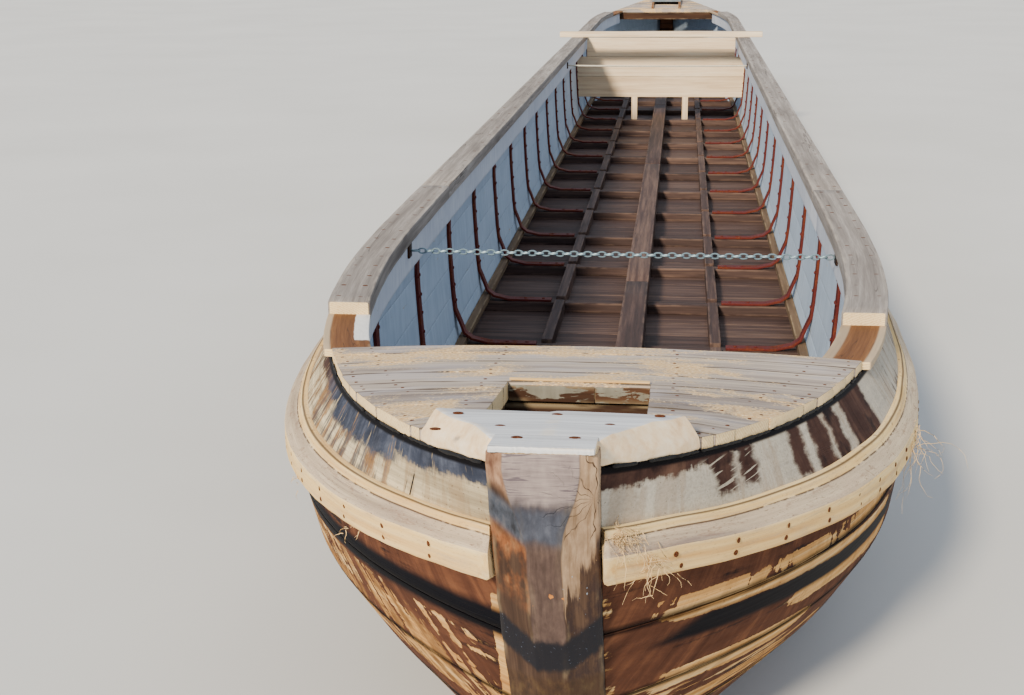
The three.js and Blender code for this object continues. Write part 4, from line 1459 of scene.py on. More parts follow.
@dataclass
class Guards:
    """The heavy new rubbing pieces round each quarter, with a thin strip above them."""

    # inset of the planking's face, height over the sheer, and place across the timber
    section: tuple[tuple[float, float, float], ...] = (
        (0.002, -0.128, 0), (-0.017, -0.131, 0.02), (-0.017, -0.152, 0.04), (-0.046, -0.185, 0.09),
        (-0.046, -0.252, 0.16), (0.002, -0.252, 0.2))
    reach: float = 3.1
    post_side: float = 0.112

    def point(self, end: End, u: float, inset: float, drop: float) -> tuple[float, float, float]:
        """Finds a point of the section beside the planking.

        Args:
            end: The end of the boat.
            u: Distance from the post's planking line.
            inset: Inset of the planking's face.
            drop: Height over the sheer.

        Returns:
            Half-breadth, distance from the end and height.
        """
        _, d_top = LINES.skin(end, 1.0, u, 0)
        w = 1 + drop / (LINES.sheer(end.aft(d_top)) - LINES.bottom)
        k = max(1, next(i for i, row in enumerate(LINES.rows) if row[0] >= w))
        pair = []
        for row in LINES.rows[k - 1 : k + 1]:
            x, d = LINES.skin(end, row[0], u, inset)
            pair.append(np.array([x, d, LINES.bottom + (LINES.sheer(end.aft(d)) - LINES.bottom) * row[0]]))
        share = (w - LINES.rows[k - 1][0]) / (LINES.rows[k][0] - LINES.rows[k - 1][0])
        return tuple(pair[0] + (pair[1] - pair[0]) * share)

    def nosed(self, end: End, inset: float, drop: float) -> tuple[float, float, float]:
        """Carries a line of the guard on until it is close beside the post.

        Args:
            end: The end of the boat.
            inset: Inset of the planking's face.
            drop: Height over the sheer.

        Returns:
            Half-breadth, distance from the end and height.
        """
        first, second = (np.array(self.point(end, u, inset, drop)) for u in (0.0, 0.05))
        share = max(0.0, first[0] - self.post_side) / (second[0] - first[0])
        return tuple(first + (first - second) * share)

    def nails(self, shell: Shell, end: End, side: int) -> None:
        """Adds the nails of one guard in pairs.

        Args:
            shell: The mesh that they join.
            end: The end of the boat.
            side: -1 at the left, 1 at the right.
        """
        rng = random.Random(7 + side)
        u = 0.13
        while u < self.reach - 0.05:
            for drop in (-0.203, -0.234):
                x, d, z = self.point(end, u + rng.uniform(-0.008, 0.008), -0.0462, drop)
                x2, d2, _ = self.point(end, u, 0.0, drop)
                out = Vector((side * (x - x2), (d - d2) * (1 if end is BOW else -1), 0))
                shell.button((side * x, end.aft(d), z), out, 0.0065, 0.0014, 3)
            u += rng.uniform(0.15, 0.2)

    def build(self) -> None:
        """Builds the four of them."""
        stations = [self.reach * (i / 54) ** 1.5 for i in range(55)]
        for side_name, side in SIDES:
            edges = Edges(0.004, 0.006, 2, 0.0012, 0.4, 11 + side)
            for end in (BOW, STERN):
                shell = Shell()
                sections = []
                for u in (-1.0, *stations):
                    ring = []
                    for j, (inset, drop, run) in enumerate(self.section):
                        x, d, z = self.nosed(end, inset, drop) if u < 0 else self.point(end, u, inset, drop)
                        ring.append(corner(side * x, end.aft(d), z, (u, run, inset), (end.aft(d), j, side)))
                    sections.append(ring)
                shell.plank(sections, edges, edges.strips(6, 2, 3, 2), 1, 0.5 + 0.1 * side, 0.004)
                self.nails(shell, end, side)
                name = f"{side_name}_{end.name}_guard"
                shell.build(f"{name}_timber", ("guard", "cut", "ledge", "bolt"), "fresh_wood", name)


@dataclass
class EndDeck:
    """The short deck at one end: planks across it, the thick block at its tip and the beams below."""

    end: End
    block_half: float = 0.305
    block_lift: float = 0.046
    block_fall: float = 0.17
    thick: float = 0.028
    camber: float = 0.024
    seam: float = 0.0016
    # the hatch: where it starts and ends, and its half-width
    hatch: tuple[float, float, float] = (0.45, 1.005, 0.18)
    joints: tuple[float, ...] = (0.4, 0.533, 0.699, 0.904, 1.005, 1.14, 1.288, 1.41, 1.52)
    # the block's bolts, across and from the tip, where the photograph shows the heads
    bolts: tuple[tuple[float, float], ...] = (
        (-0.203, 0.339), (-0.099, 0.203), (-0.053, 0.088), (0.055, 0.1), (0.113, 0.251), (0.0, 0.356),
        (0.21, 0.375), (-0.218, 0.15))
    # where each beam lies, its depth and its half-width
    beams_at: tuple[tuple[float, float, float], ...] = (
        (1.05, 0.09, 0.038), (1.472, 0.1, 0.038), (0.445, 0.09, 0.035))

    @property
    def name(self) -> str:
        """Says which deck it is."""
        return "fore" if self.end is BOW else "stern"

    def sheer(self, d: float) -> float:
        """Gives the height of the planking's top edge at a distance from this end."""
        return LINES.sheer(self.end.aft(d))

    def top(self, t: float, d: float) -> float:
        """Gives the height of the deck at a share of its half-breadth."""
        return self.sheer(d) + self.thick + self.camber * (1 - t * t)

    def plank(self, shell: Shell, rng: random.Random, d0: float, d1: float, side: int, tone: float) -> None:
        """Lays one plank across the boat, or one side of it.

        Args:
            shell: The mesh that it joins.
            rng: Where its disorder comes from.
            d0: Its near edge, from this end.
            d1: Its far edge.
            side: -1 at the left of the hatch, 1 at the right, 0 right across.
            tone: The timber's own tone.
        """
        hatch_half = self.hatch[2]
        left_jut, right_jut = rng.uniform(0, 0.004), rng.uniform(0, 0.004)
        rings = []
        count = 11 if side else 19
        for i in range(count):
            share = i / (count - 1)
            ring = []
            for d, up in upright(d0 + self.seam, d1 - self.seam, 0, 1):
                half = LINES.half(self.end, 1.0, d)
                right = hatch_half + (half - right_jut - hatch_half) * share
                left = -half + left_jut + (half - left_jut - hatch_half) * share
                x = ((half - left_jut) * (-1 + 2 * share), right, left)[side]
                z = self.top(x / half, d) if up else self.sheer(d) + 0.0004
                ring.append(corner(x, self.end.aft(d), z, (x, d, 0.028 * up + tone), (x, d, up)))
            ring = Edges(0.0022, 0.003).soften(ring)
            top = ring[:, 2] > ring[:, 2].mean()
            ring[top, :3] = wander(ring[top, :3], 0.0007, 0.16, int(d0 * 100))
            rings.append(ring)
        shell.loft(rings, 0, 1, tone, 0.0015)

    def planks(self) -> None:
        """Lays the planks across the boat, cut flush with its side, and leaves the hatch open."""
        rng = random.Random(12)
        shell = Shell()
        near, far, _ = self.hatch
        for a, b in zip(self.joints, self.joints[1:]):
            tone = rng.random()
            for d0, d1 in ((a, near), (near, b)) if a < near < b else ((a, b),):
                across = d1 <= near + 1e-6 or d0 >= far - 1e-6
                for side in (0,) if across else (-1, 1):
                    self.plank(shell, rng, d0, d1, side, tone)
        self.nails(shell)
        shell.build(f"{self.name}_deck_planks", ("deck", "cut", "bolt"), "deck_wood",
                    *(["fore_deck"] if self.end is BOW else []))

    def nails(self, shell: Shell) -> None:
        """Adds the nail heads near the planks' ends and over the beams.

        Args:
            shell: The mesh that they join.
        """
        rng = random.Random(5)
        for a, b in zip(self.joints, self.joints[1:]):
            for d in (a + 0.03, b - 0.03):
                half = LINES.half(self.end, 1.0, d)
                for x in (-half + 0.03, -half + 0.12, -0.24, 0.24, half - 0.12, half - 0.03):
                    if self.hatch[0] < d < self.hatch[1] and abs(x) < 0.2:
                        continue
                    x += rng.uniform(-0.006, 0.006)
                    at = (x, self.end.aft(d), self.top(x / half, d))
                    shell.button(at, UPWARD, 0.005, 0.0008, 2, sides=6)

    def block_top(self, d: float) -> float:
        """Gives the height of the block's top."""
        return LINES.side_top + self.end.rise + self.block_lift - self.block_fall * d

    def block(self) -> None:
        """Builds the hewn block across the tip, its lip over the post and its bolts."""
        shell = Shell()
        sections = []
        for d in (0.0965, 0.11, 0.125, 0.145, 0.17, 0.2, 0.23, 0.26, 0.29, 0.32, 0.35, 0.378, 0.3985):
            half = min(LINES.half(self.end, 1.0, d), self.block_half)
            z = self.sheer(d) + 0.0005
            inset = min(0.034, 0.4 * (half - POST_HALF) + 0.002)
            sag = 0.012 * max(0.0, (0.15 - d) / 0.05)
            top = self.block_top(d) - sag * 0.4
            outline = ((half, z), (half, z + 0.024), (half - inset, top), (0.0, top + 0.001),
                       (-half + inset, top), (-half, z + 0.024), (-half, z))
            sections.append([corner(x, self.end.aft(d), h, (x, d, h), (x, d, h)) for x, h in outline])
        edges = Edges(0.007, 0.012, 3, 0.0016, 0.12, 17)
        # the top faces take the block's painted shade, the sides its cream wood
        shell.plank(sections, edges, edges.strips(7, 2, 4, 0, 1), 1, 0.5, 0.006)
        self.lip(shell)
        for x, d in self.bolts:
            at = (x, self.end.aft(d), self.block_top(d) + 0.0002)
            shell.button(at, UPWARD, 0.0115, 0.0018, 2, 0.6, 12)
        shell.build(f"{self.name}_block_timber", ("block_top", "block", "bolt"), "fresh_wood",
                    f"{self.name}_deck_block")

    def lip(self, shell: Shell) -> None:
        """Adds the splintered part of the block that covers the post's head.

        Args:
            shell: The mesh that it joins.
        """
        rng = np.random.default_rng(6)
        sections = []
        for x in np.linspace(-0.098, 0.098, 45):
            rough = float(rng.uniform(-0.001, 0.0014))
            outline = ((0.0025 + rough, -0.0138), (0.004 + rough, -0.002), (0.12, 0.0), (0.12, -0.0138))
            sections.append([corner(x, self.end.aft(d), self.block_top(d) + drop + rough * 0.3, (x, d, drop),
                                    (x, d, 0)) for d, drop in outline])
        shell.plank(sections, Edges(0.002, 0.004), 0, 1, 0.45)

    def beams(self) -> None:
        """Builds the beams and the carlings beside the hatch, inside the planking."""
        shell = Shell()
        slant = math.hypot(1, 0.3)
        for at, deep, half_width in self.beams_at:
            top = self.sheer(at + half_width) - 0.0005
            sections = []
            for t in np.linspace(-1, 1, 13):
                ring = []
                for d, z in upright(at - half_width, at + half_width, top - deep, top):
                    w = (z - LINES.bottom) / (self.sheer(d) - LINES.bottom)
                    half = LINES.half(self.end, min(1.0, w), d) - PLANK * slant - 0.006
                    ring.append(corner(t * half, self.end.aft(d), z, (t * half, d, z)))
                sections.append(ring)
            shell.plank(sections, Edges(0.005), tone=at % 1)
        for side in (-1, 1):
            for d0, d1 in ((0.4803, 1.0117), (1.0883, 1.4337)):
                sections = []
                for d in np.linspace(d0, d1, 7):
                    top = self.sheer(d) - 0.011
                    sections.append([corner(side * x, self.end.aft(d), z, (d, x, z))
                                     for x, z in upright(0.1885, 0.2475, top - 0.065, top)])
                shell.plank(sections, Edges(), tone=0.5 + side * 0.2)
        shell.build(f"{self.name}_beam_timbers", ("beam",), "weathered_wood", f"{self.name}_deck_beams")

    def board(self) -> None:
        """Builds the two painted boards behind the hatch, and the pale strip on its edge."""
        shell = Shell()
        top = LINES.sheer(1.088)
        for low, high, x0, x1, tone in ((top - 0.205, top - 0.0755, -0.24, 0.041, 0.2),
                                        (top - 0.205, top - 0.0755, 0.0425, 0.24, 0.7),
                                        (top - 0.35, top - 0.207, -0.24, 0.24, 0.5)):
            z = (low + high) / 2
            shell.bar((x0, 0.998, z), (x1, 0.998, z), 0.026, high - low, Edges(0.003), tone=tone, rings=5)
        deck = LINES.sheer(1.005)
        for x0, x1, tone in ((-0.1785, 0.0402, 0.35), (0.0418, 0.1785, 0.8)):
            z = deck + 0.0195
            shell.bar((x0, 1.0025, z), (x1, 1.0025, z), 0.0045, 0.042, Edges(0.0015, uneven=0.0004),
                      tone=tone, rings=6)
        z = deck + self.thick + self.camber + 0.001
        shell.bar((-0.176, 1.0125, z), (0.178, 1.0125, z), 0.014, 0.004, Edges(0.001, uneven=0.0006), 1, 1,
                  rings=8)
        shell.build("hatch_board_planks", ("hatch", "new"), "painted_wood", "hatch_board")

    def build(self) -> None:
        """Builds it all."""
        self.planks()
        self.block()
        self.beams()
        if self.end is BOW:
            self.board()


@dataclass
class Framing:
    """Floor timbers, their long strips, and the iron knees with their rivets."""

    first: float = 3.13
    spacing: float = 0.96
    count: int = 16
    strap_width: float = 0.064
    strap_thick: float = 0.014
    floor_top: float = 0.1103
    centre_end: float = 1.6
    centre_length: float = 4.6
    over: float = 0.06
    # the knees' three lengths of chine iron: name, first knee, and the knee after the last
    parts: tuple[tuple[str, int, int], ...] = (("bow", 0, 2), ("mid", 2, 13), ("stern", 13, 16))

    def at(self, i: int) -> float:
        """Gives the place of a frame."""
        return self.first + i * self.spacing

    def floor(self) -> None:
        """Builds the floor timbers."""
        shell = Shell()
        rng = random.Random(8)
        s, stop = self.centre_end, HULL_LENGTH - self.centre_end
        while s < stop - 0.1:
            ahead = min(stop, s + self.centre_length)
            shell.bar((0, s, 0.125), (0, ahead - 0.004, 0.125), 0.14, 0.149,
                      Edges(0.006, uneven=0.0012, seed=int(s)), tone=rng.random(), rings=12)
            s = ahead
        for i in range(self.count):
            s = self.at(i)
            half = LINES.side_half(s, 0.04) - PLANK - 0.004
            for a, b in ((-half, -0.0705), (0.0705, half)):
                shell.bar((a, s, 0.08), (b, s, 0.08), 0.08, 0.0598, Edges(0.005, uneven=0.001, seed=i),
                          tone=rng.random(), rings=6)
        for x in (-0.46, 0.46):
            for i in range(self.count - 1):
                s0 = self.at(i) - (self.over if i == 0 else -0.0405)
                s1 = self.at(i + 1) + (self.over if i == self.count - 2 else -0.0405)
                shell.bar((x, s0, 0.091), (x, s1, 0.091), 0.06, 0.0815, tone=rng.random(), rings=3)
        shell.build("floor_timbers", ("floor",), "dark_timber", "floor_frames")

    def inner(self, s: float, z: float, inset: float) -> float:
        """Gives the half-breadth of a face inside the planking.

        Args:
            s: Distance aft.
            z: Height.
            inset: How far inside the planking's outer face.

        Returns:
            The half-breadth.
        """
        w = (z - LINES.bottom) / (LINES.sheer(s) - LINES.bottom)
        end, d = LINES.end(s), LINES.from_end(s)
        slope = (LINES.half(end, w, d + 0.002) - LINES.half(end, w, d - 0.002)) / 0.004
        return LINES.half(end, w, d) - inset * math.hypot(1, slope)

    def knees(self) -> None:
        """Builds the knees of each side in their three lengths of chine iron."""
        low = self.floor_top
        reach = self.spacing / 2 - 0.00015
        for side_name, side in SIDES:
            for part, first, after in self.parts:
                shell = Shell()
                s0 = self.at(first) - (self.over if first == 0 else reach)
                s1 = self.at(after - 1) + (self.over if after == self.count else reach)
                sections = []
                for k in range(25):
                    s = s0 + (s1 - s0) * k / 24
                    outer = self.inner(s, low + 0.02, PLANK + 0.001)
                    inner = LINES.side_half(s, 0.1) - PLANK - 0.05
                    sections.append([corner(side * x, s, z, (s, x, z))
                                     for x, z in upright(outer, inner, low, low + 0.042)])
                shell.plank(sections, Edges(0.003, 0.008), 1, 1, 0.4, 0.002)
                for i in range(first, after):
                    self.knee(shell, self.at(i), side, low)
                shell.build(f"{side_name}_{part}_iron_knees", ("red", "chine"), "red_iron",
                            f"{side_name}_{part}_knees")

    def path(self, s: float, low: float, high: float) -> list[tuple[float, float]]:
        """Runs the outside of a knee from its top down the planking and along the floor timber.

        Args:
            s: Where it stands.
            low: The top of the floor timber.
            high: The knee's top.

        Returns:
            Points of half-breadth and height.
        """
        heights = [high + (low + 0.19 - high) * k / 8 for k in range(9)]
        foot = LINES.side_half(s, 0.1) - PLANK
        toe = max(foot - 0.43, 0.5)
        bend = [(foot - 0.008, low + 0.12), (foot - 0.03, low + 0.06), (foot - 0.075, low + 0.024),
                (foot - 0.17, low + 0.002), ((foot - 0.17 + toe) / 2, low + 0.0005), (toe, low + 0.0005)]
        return [(self.inner(s, z, PLANK + 0.0004), z) for z in heights] + bend

    def knee(self, shell: Shell, s: float, side: int, low: float) -> None:
        """Adds one knee and its rivets.

        Args:
            shell: The mesh that it joins.
            s: Where it stands.
            side: -1 at the left, 1 at the right.
            low: The top of the floor timber.
        """
        high = LINES.sheer(s) - 0.1435
        half = self.strap_width / 2
        path = self.path(s, low, high)
        sections = []
        run = 0.0
        for k, (x, z) in enumerate(path):
            ahead, behind = path[min(k + 1, len(path) - 1)], path[max(k - 1, 0)]
            dx, dz = ahead[0] - behind[0], ahead[1] - behind[1]
            length = math.hypot(dx, dz)
            nx, nz = dz / length, -dx / length
            if nx > 0 or (abs(nx) < 1e-6 and nz < 0):
                nx, nz = -nx, -nz
            if k:
                run += math.dist(path[k], path[k - 1])
            ring = []
            for across, depth in level(-half, half, 0, self.strap_thick):
                shift, face = 0, min(z, high)
                if z > low + 0.1:
                    shift = self.inner(s + across, face, PLANK + 0.0004) - self.inner(s, face, PLANK + 0.0004)
                ring.append(corner(side * (x + shift + nx * depth), s + across, z + nz * depth,
                                   (run, across, depth + s)))
            sections.append(ring)
        shell.plank(sections, Edges(0.0025, 0.006), round_end=0.002)
        rng = random.Random(int(s * 10) + side)
        z = low + 0.24
        while z < high - 0.02:
            for across in (-0.02, 0.02) if int(z * 50) % 2 else (0.018,):
                x = self.inner(s, z, PLANK + self.strap_thick + 0.0002)
                shell.button((side * x, s + across, z), (-side, 0, 0), 0.009, 0.007)
            z += rng.uniform(0.085, 0.11)
        for x in (path[-1][0] + 0.05, path[-1][0] + 0.16):
            shell.button((side * x, s, low + self.strap_thick), UPWARD, 0.011, 0.006)

    def build(self) -> None:
        """Builds it all."""
        self.floor()
        self.knees()


@dataclass
class HoldGear:
    """What lies across the hold: chain, rope, beam and bulkhead."""

    chain_at: float = 3.43
    chain_height: float = 0.99
    link_length: float = 0.036
    link_round: float = 0.0105
    link_wire: float = 0.0033
    rope_at: float = 12.11
    rope_height: float = 0.975
    rope_radius: float = 0.0085
    rope_pitch: float = 0.055
    beam_at: float = 14.3
    bulkhead_at: float = 14.79
    # the lower and upper edge of each board
    boards: tuple[tuple[float, float], ...] = ((0.365, 0.60), (0.603, 0.835), (0.838, 1.055))

    def reach(self, s: float) -> float:
        """Gives the half-breadth between the inwales."""
        return LINES.side_half(s) - PLANK - 0.048

    def plates(self, shell: Shell, s: float, z: float) -> None:
        """Adds an eye plate on each inwale.

        Args:
            shell: The mesh that they join.
            s: Distance aft.
            z: Height.
        """
        for x in (-self.reach(s), self.reach(s)):
            shell.bar((x, s - 0.03, z), (x, s + 0.03, z), 0.02, 0.06, Edges(0.003), 1, 1)

    def link(self, shell: Shell, centre: Vector, turned: bool) -> None:
        """Adds one oval link, lying along x.

        Args:
            shell: The mesh that it joins.
            centre: Its middle.
            turned: Whether it stands upright.
        """
        steps, half = 14, self.link_length / 2
        rings = []
        for i in range(steps + 1):
            c, s = math.cos(TURN * i / steps), math.sin(TURN * i / steps)
            tx, ty = -half * s, self.link_round * c
            length = math.hypot(tx, ty)
            nx, ny = ty / length, -tx / length
            ring = []
            for j, (cu, sv) in enumerate(circle(6)):
                u, v = cu * self.link_wire, sv * self.link_wire
                x, y, z = half * c + nx * u, self.link_round * s + ny * u, v
                if turned:
                    y, z = z, y
                ring.append([centre.x + x, centre.y + y, centre.z + z, i * 0.01, j * 0.003, 0, 0, 0, 0, 0.3])
            rings.append(np.array(ring))
        shell.loft(rings, ends=False)

    def chain(self) -> None:
        """Builds the chain with a little sag and the eye plates on the inwales."""
        shell = Shell()
        reach = self.reach(self.chain_at) - 0.016
        count = int(2 * reach / (self.link_length - 2 * self.link_wire - 0.0002))
        pitch = 2 * reach / count
        for i in range(count):
            x = -reach + pitch * (i + 0.5)
            sag = 0.004 * ((x / reach) ** 2 - 1)
            self.link(shell, Vector((x, y_at(self.chain_at), self.chain_height + sag)), i % 2 == 1)
        self.plates(shell, self.chain_at, self.chain_height)
        shell.build("bow_chain_links", ("zinc", "dark"), "dark_iron", "bow_chain")

    def rope(self) -> None:
        """Builds the rope from three twisted strands, with an eye plate at each end."""
        shell = Shell()
        reach = self.reach(self.rope_at) - 0.008
        steps = 260
        lay, strand_radius = self.rope_radius * 0.5, self.rope_radius * 0.55
        for strand in range(3):
            rings = []
            for i in range(steps + 1):
                x = -reach + 2 * reach * i / steps
                a = x * TURN / self.rope_pitch + strand * TURN / 3
                y = y_at(self.rope_at) + math.cos(a) * lay
                z = self.rope_height + 0.006 * ((x / reach) ** 2 - 1) + math.sin(a) * lay
                rings.append(np.array([[x, y + c * strand_radius, z + s * strand_radius,
                                        x, j * 0.004 + strand, 0, 0, 0, 0, 0]
                                       for j, (c, s) in enumerate(circle(6))]))
            shell.loft(rings, round_end=0.001)
        self.plates(shell, self.rope_at, self.rope_height)
        shell.build("hold_rope_strands", ("rope", "dark"), "white_rope", "mid_rope")

    def beam(self) -> None:
        """Builds the loose beam that lies on the caps."""
        shell = Shell()
        z = LINES.side_top + 0.0663 + 0.03
        shell.bar((-1.15, self.beam_at, z), (1.15, self.beam_at, z), 0.12, 0.06, Edges(0.005, uneven=0.0012),
                  end=1, rings=14)
        shell.build("cross_beam_timber", ("board", "cut"), "fresh_wood", "cross_beam")

    def bulkhead(self) -> None:
        """Builds the boarded bulkhead on its two legs."""
        shell = Shell()
        s = self.bulkhead_at
        for k, (low, high) in enumerate(self.boards):
            sections = []
            for i in range(9):
                t = -1 + 2 * i / 8
                ring = []
                for ds, z in upright(-0.02, 0.02, low, high):
                    w = (min(z, 1.03) - LINES.bottom) / (LINES.side_top - LINES.bottom)
                    half = LINES.half(STERN, min(1, w), HULL_LENGTH - s) - PLANK - 0.004
                    if z > 0.88:
                        half = self.reach(s) - 0.003
                    if k == 2:
                        half = min(half, 0.868)
                    ring.append(corner(t * half, s + ds, z, (t * half, z, ds)))
                sections.append(ring)
            shell.plank(sections, Edges(0.003), tone=0.3 + 0.2 * k)
        for x in (-0.3, 0.3):
            shell.bar((x, s, 0.0505), (x, s, 0.37), 0.07, 0.04, up=(0, 1, 0))
        shell.build("bulkhead_boards", ("board",), "fresh_wood", "hold_bulkhead")

    def build(self) -> None:
        """Builds it all."""
        self.chain()
        self.rope()
        self.beam()
        self.bulkhead()


@dataclass
class Posts:
    """Stem and stern post, with the irons that carry the rudder."""

    # share of the height, half-width of the nose, depth of the chamfer
    rows: tuple[tuple[float, float, float], ...] = (
        (0.0, 0.032, 0.043), (0.84, 0.032, 0.043), (0.9, 0.038, 0.041), (0.96, 0.058, 0.030),
        (1.0, 0.069, 0.025))
    stem_depth: float = 0.2
    stern_depth: float = 0.245
    # the stem is level up to here, and falls with the block above it
    shoulder: float = 1.36
    fall: float = EndDeck.block_fall
    head: float = EndDeck.block_lift - 0.0145
    # the gudgeons' eyes: inner and outer radius
    eye: tuple[float, float] = (0.0192, 0.032)
    gudgeon: float = 0.03

    def stem(self) -> None:
        """Builds the stem with its two deep chamfers."""
        full = LINES.side_top + BOW.rise - LINES.bottom
        table = np.array(self.rows)
        sections = []
        heights = (0.0, 0.03, *np.arange(0.06, self.shoulder, 0.035), self.shoulder + 0.002,
                   LINES.side_top + BOW.rise + self.head)
        for z in heights:
            w = (z - LINES.bottom) / full
            face = BOW.face(max(0, w)) + (0.02 * (1 - z / LINES.bottom) if z < LINES.bottom else 0)
            nose, chamfer = (float(np.interp(w, table[:, 0], table[:, i])) for i in (1, 2))
            ring = []
            for x, back in ((-POST_HALF, chamfer), (-nose, 0), (nose, 0), (POST_HALF, chamfer),
                            (POST_HALF, self.stem_depth), (-POST_HALF, self.stem_depth)):
                height = z - (self.fall * (face + back) if z > self.shoulder else 0)
                ring.append(corner(x, face + back, height, (z, x, back), (x, height, back)))
            sections.append(ring)
        shell = Shell()
        shell.plank(sections, Edges(0.005, 0.008, 3, 0.0009, 0.17, 21), 0, 1)
        shell.build("stem_timber", ("stem", "cut"), "tarred_wood", "stem_post")

    def stern(self) -> None:
        """Builds the stern post, its heel iron and its two gudgeons."""
        rear, front = HULL_LENGTH, HULL_LENGTH - self.stern_depth
        top = LINES.side_top + STERN.rise + self.head
        sections = []
        for share in np.linspace(0, 1, 30):
            ring = []
            for x, s in level(-POST_HALF, POST_HALF, rear, front):
                z = share * (top - self.fall * (rear - s))
                ring.append(corner(x, s, z, (z, x, rear - s), (3.4 + rear - s, 0.2 + z * 0.35, -1)))
            sections.append(ring)
        shell = Shell()
        shell.plank(sections, Edges(0.005, 0.01, 3, 0.0007, 0.2, 5), tone=0.4, round_end=0.004)
        shell.bar((0, rear - 0.02, 0.03), (0, rear + 0.095, 0.03), 0.09, 0.059, Edges(0.006), 1, 1, rings=4)
        for low in HINGES:
            z = low + self.gudgeon
            shell.bar((0, rear - 0.004, z), (0, rear + 0.0055, z), 0.13, 0.056, Edges(0.002), 1, 1)
            for x in (-0.048, 0.048):
                shell.button((x, rear + 0.0055, z), (0, 1, 0), 0.009, 0.0022, 1)
            shell.bar((0, rear, z), (0, HINGE_AT - 0.024, z), 0.042, 0.036, Edges(0.003), 1, 1)
            eye = [[corner(r * c, HINGE_AT + r * s, h, (TURN * i / 28 * 0.03, r, h))
                    for r, h in level(*self.eye, z - 0.02, z + 0.02)] for i, (c, s) in enumerate(circle(28))]
            shell.plank(eye, Edges(0.0025, 0.002), 1, 1, loop=True)
        shell.build("stern_post_timber", ("side", "dark"), "tarred_wood", "stern_post")

    def build(self) -> None:
        """Builds them."""
        self.stem()
        self.stern()


@dataclass
class HatchLid:
    """The sliding lid of the stern locker and the two rails under it."""

    near: float = 0.415
    far: float = 1.49
    lid_near: float = 0.425
    lid_far: float = 1.03
    half: float = 0.216
    rail_depth: float = 0.06
    rail_lift: float = EndDeck.thick + EndDeck.camber + 0.028
    strap_lift: float = 0.0265

    def rail_top(self, d: float) -> float:
        """Gives the height of the rails at a distance from the stern."""
        z0, z1 = (LINES.sheer(HULL_LENGTH - e) + self.rail_lift for e in (self.near, self.far))
        return z0 + (z1 - z0) * (d - self.near) / (self.far - self.near)

    def rails(self) -> None:
        """Builds the rails on the deck."""
        shell = Shell()
        for side in (-1, 1):
            sections = []
            for d in np.linspace(self.near, self.far, 14):
                top = self.rail_top(d)
                sections.append([corner(side * x, HULL_LENGTH - d, z, (d, x, z))
                                 for x, z in level(0.1842, 0.2158, top - self.rail_depth, top)])
            shell.plank(sections, Edges(0.004, 0.008), tone=0.4 + side * 0.1, round_end=0.004)
        shell.build("stern_hatch_rails", ("brown",), "weathered_wood", "stern_deck")

    def lid(self) -> None:
        """Builds the lid from its five planks and two straps."""
        shell = Shell()
        edges = np.linspace(self.lid_near, self.lid_far, 6)
        for k, (a, b) in enumerate(zip(edges, edges[1:])):
            sections = []
            for t in np.linspace(-1, 1, 9):
                ring = []
                for d, up in upright(a + 0.0005, b - 0.0005, 0, 1):
                    z = self.rail_top(d) + 0.0005 + up * (0.022 + 0.004 * (1 - t * t))
                    ring.append(corner(t * self.half, HULL_LENGTH - d, z, (t * 0.2, d, z)))
                sections.append(ring)
            shell.plank(sections, Edges(0.0025, 0.008), tone=0.15 + 0.17 * k)
        near, far = self.lid_near + 0.02, self.lid_far - 0.02
        for x in (-0.17, 0.17):
            a, b = ((x, HULL_LENGTH - d, self.rail_top(d) + self.strap_lift) for d in (near, far))
            shell.bar(a, b, 0.04, 0.006, Edges(0.0015), 1, 1)
            for k in range(5):
                m = Vector(a).lerp(Vector(b), 0.08 + 0.21 * k)
                shell.button(m + Vector((0, 0, 0.003)), UPWARD, 0.006, 0.0012, 1)
        shell.build("stern_hatch_planks", ("lid", "dark"), "painted_wood", "stern_hatch_lid",
                    body="stern_hatch")

    def build(self) -> None:
        """Builds them."""
        self.rails()
        self.lid()


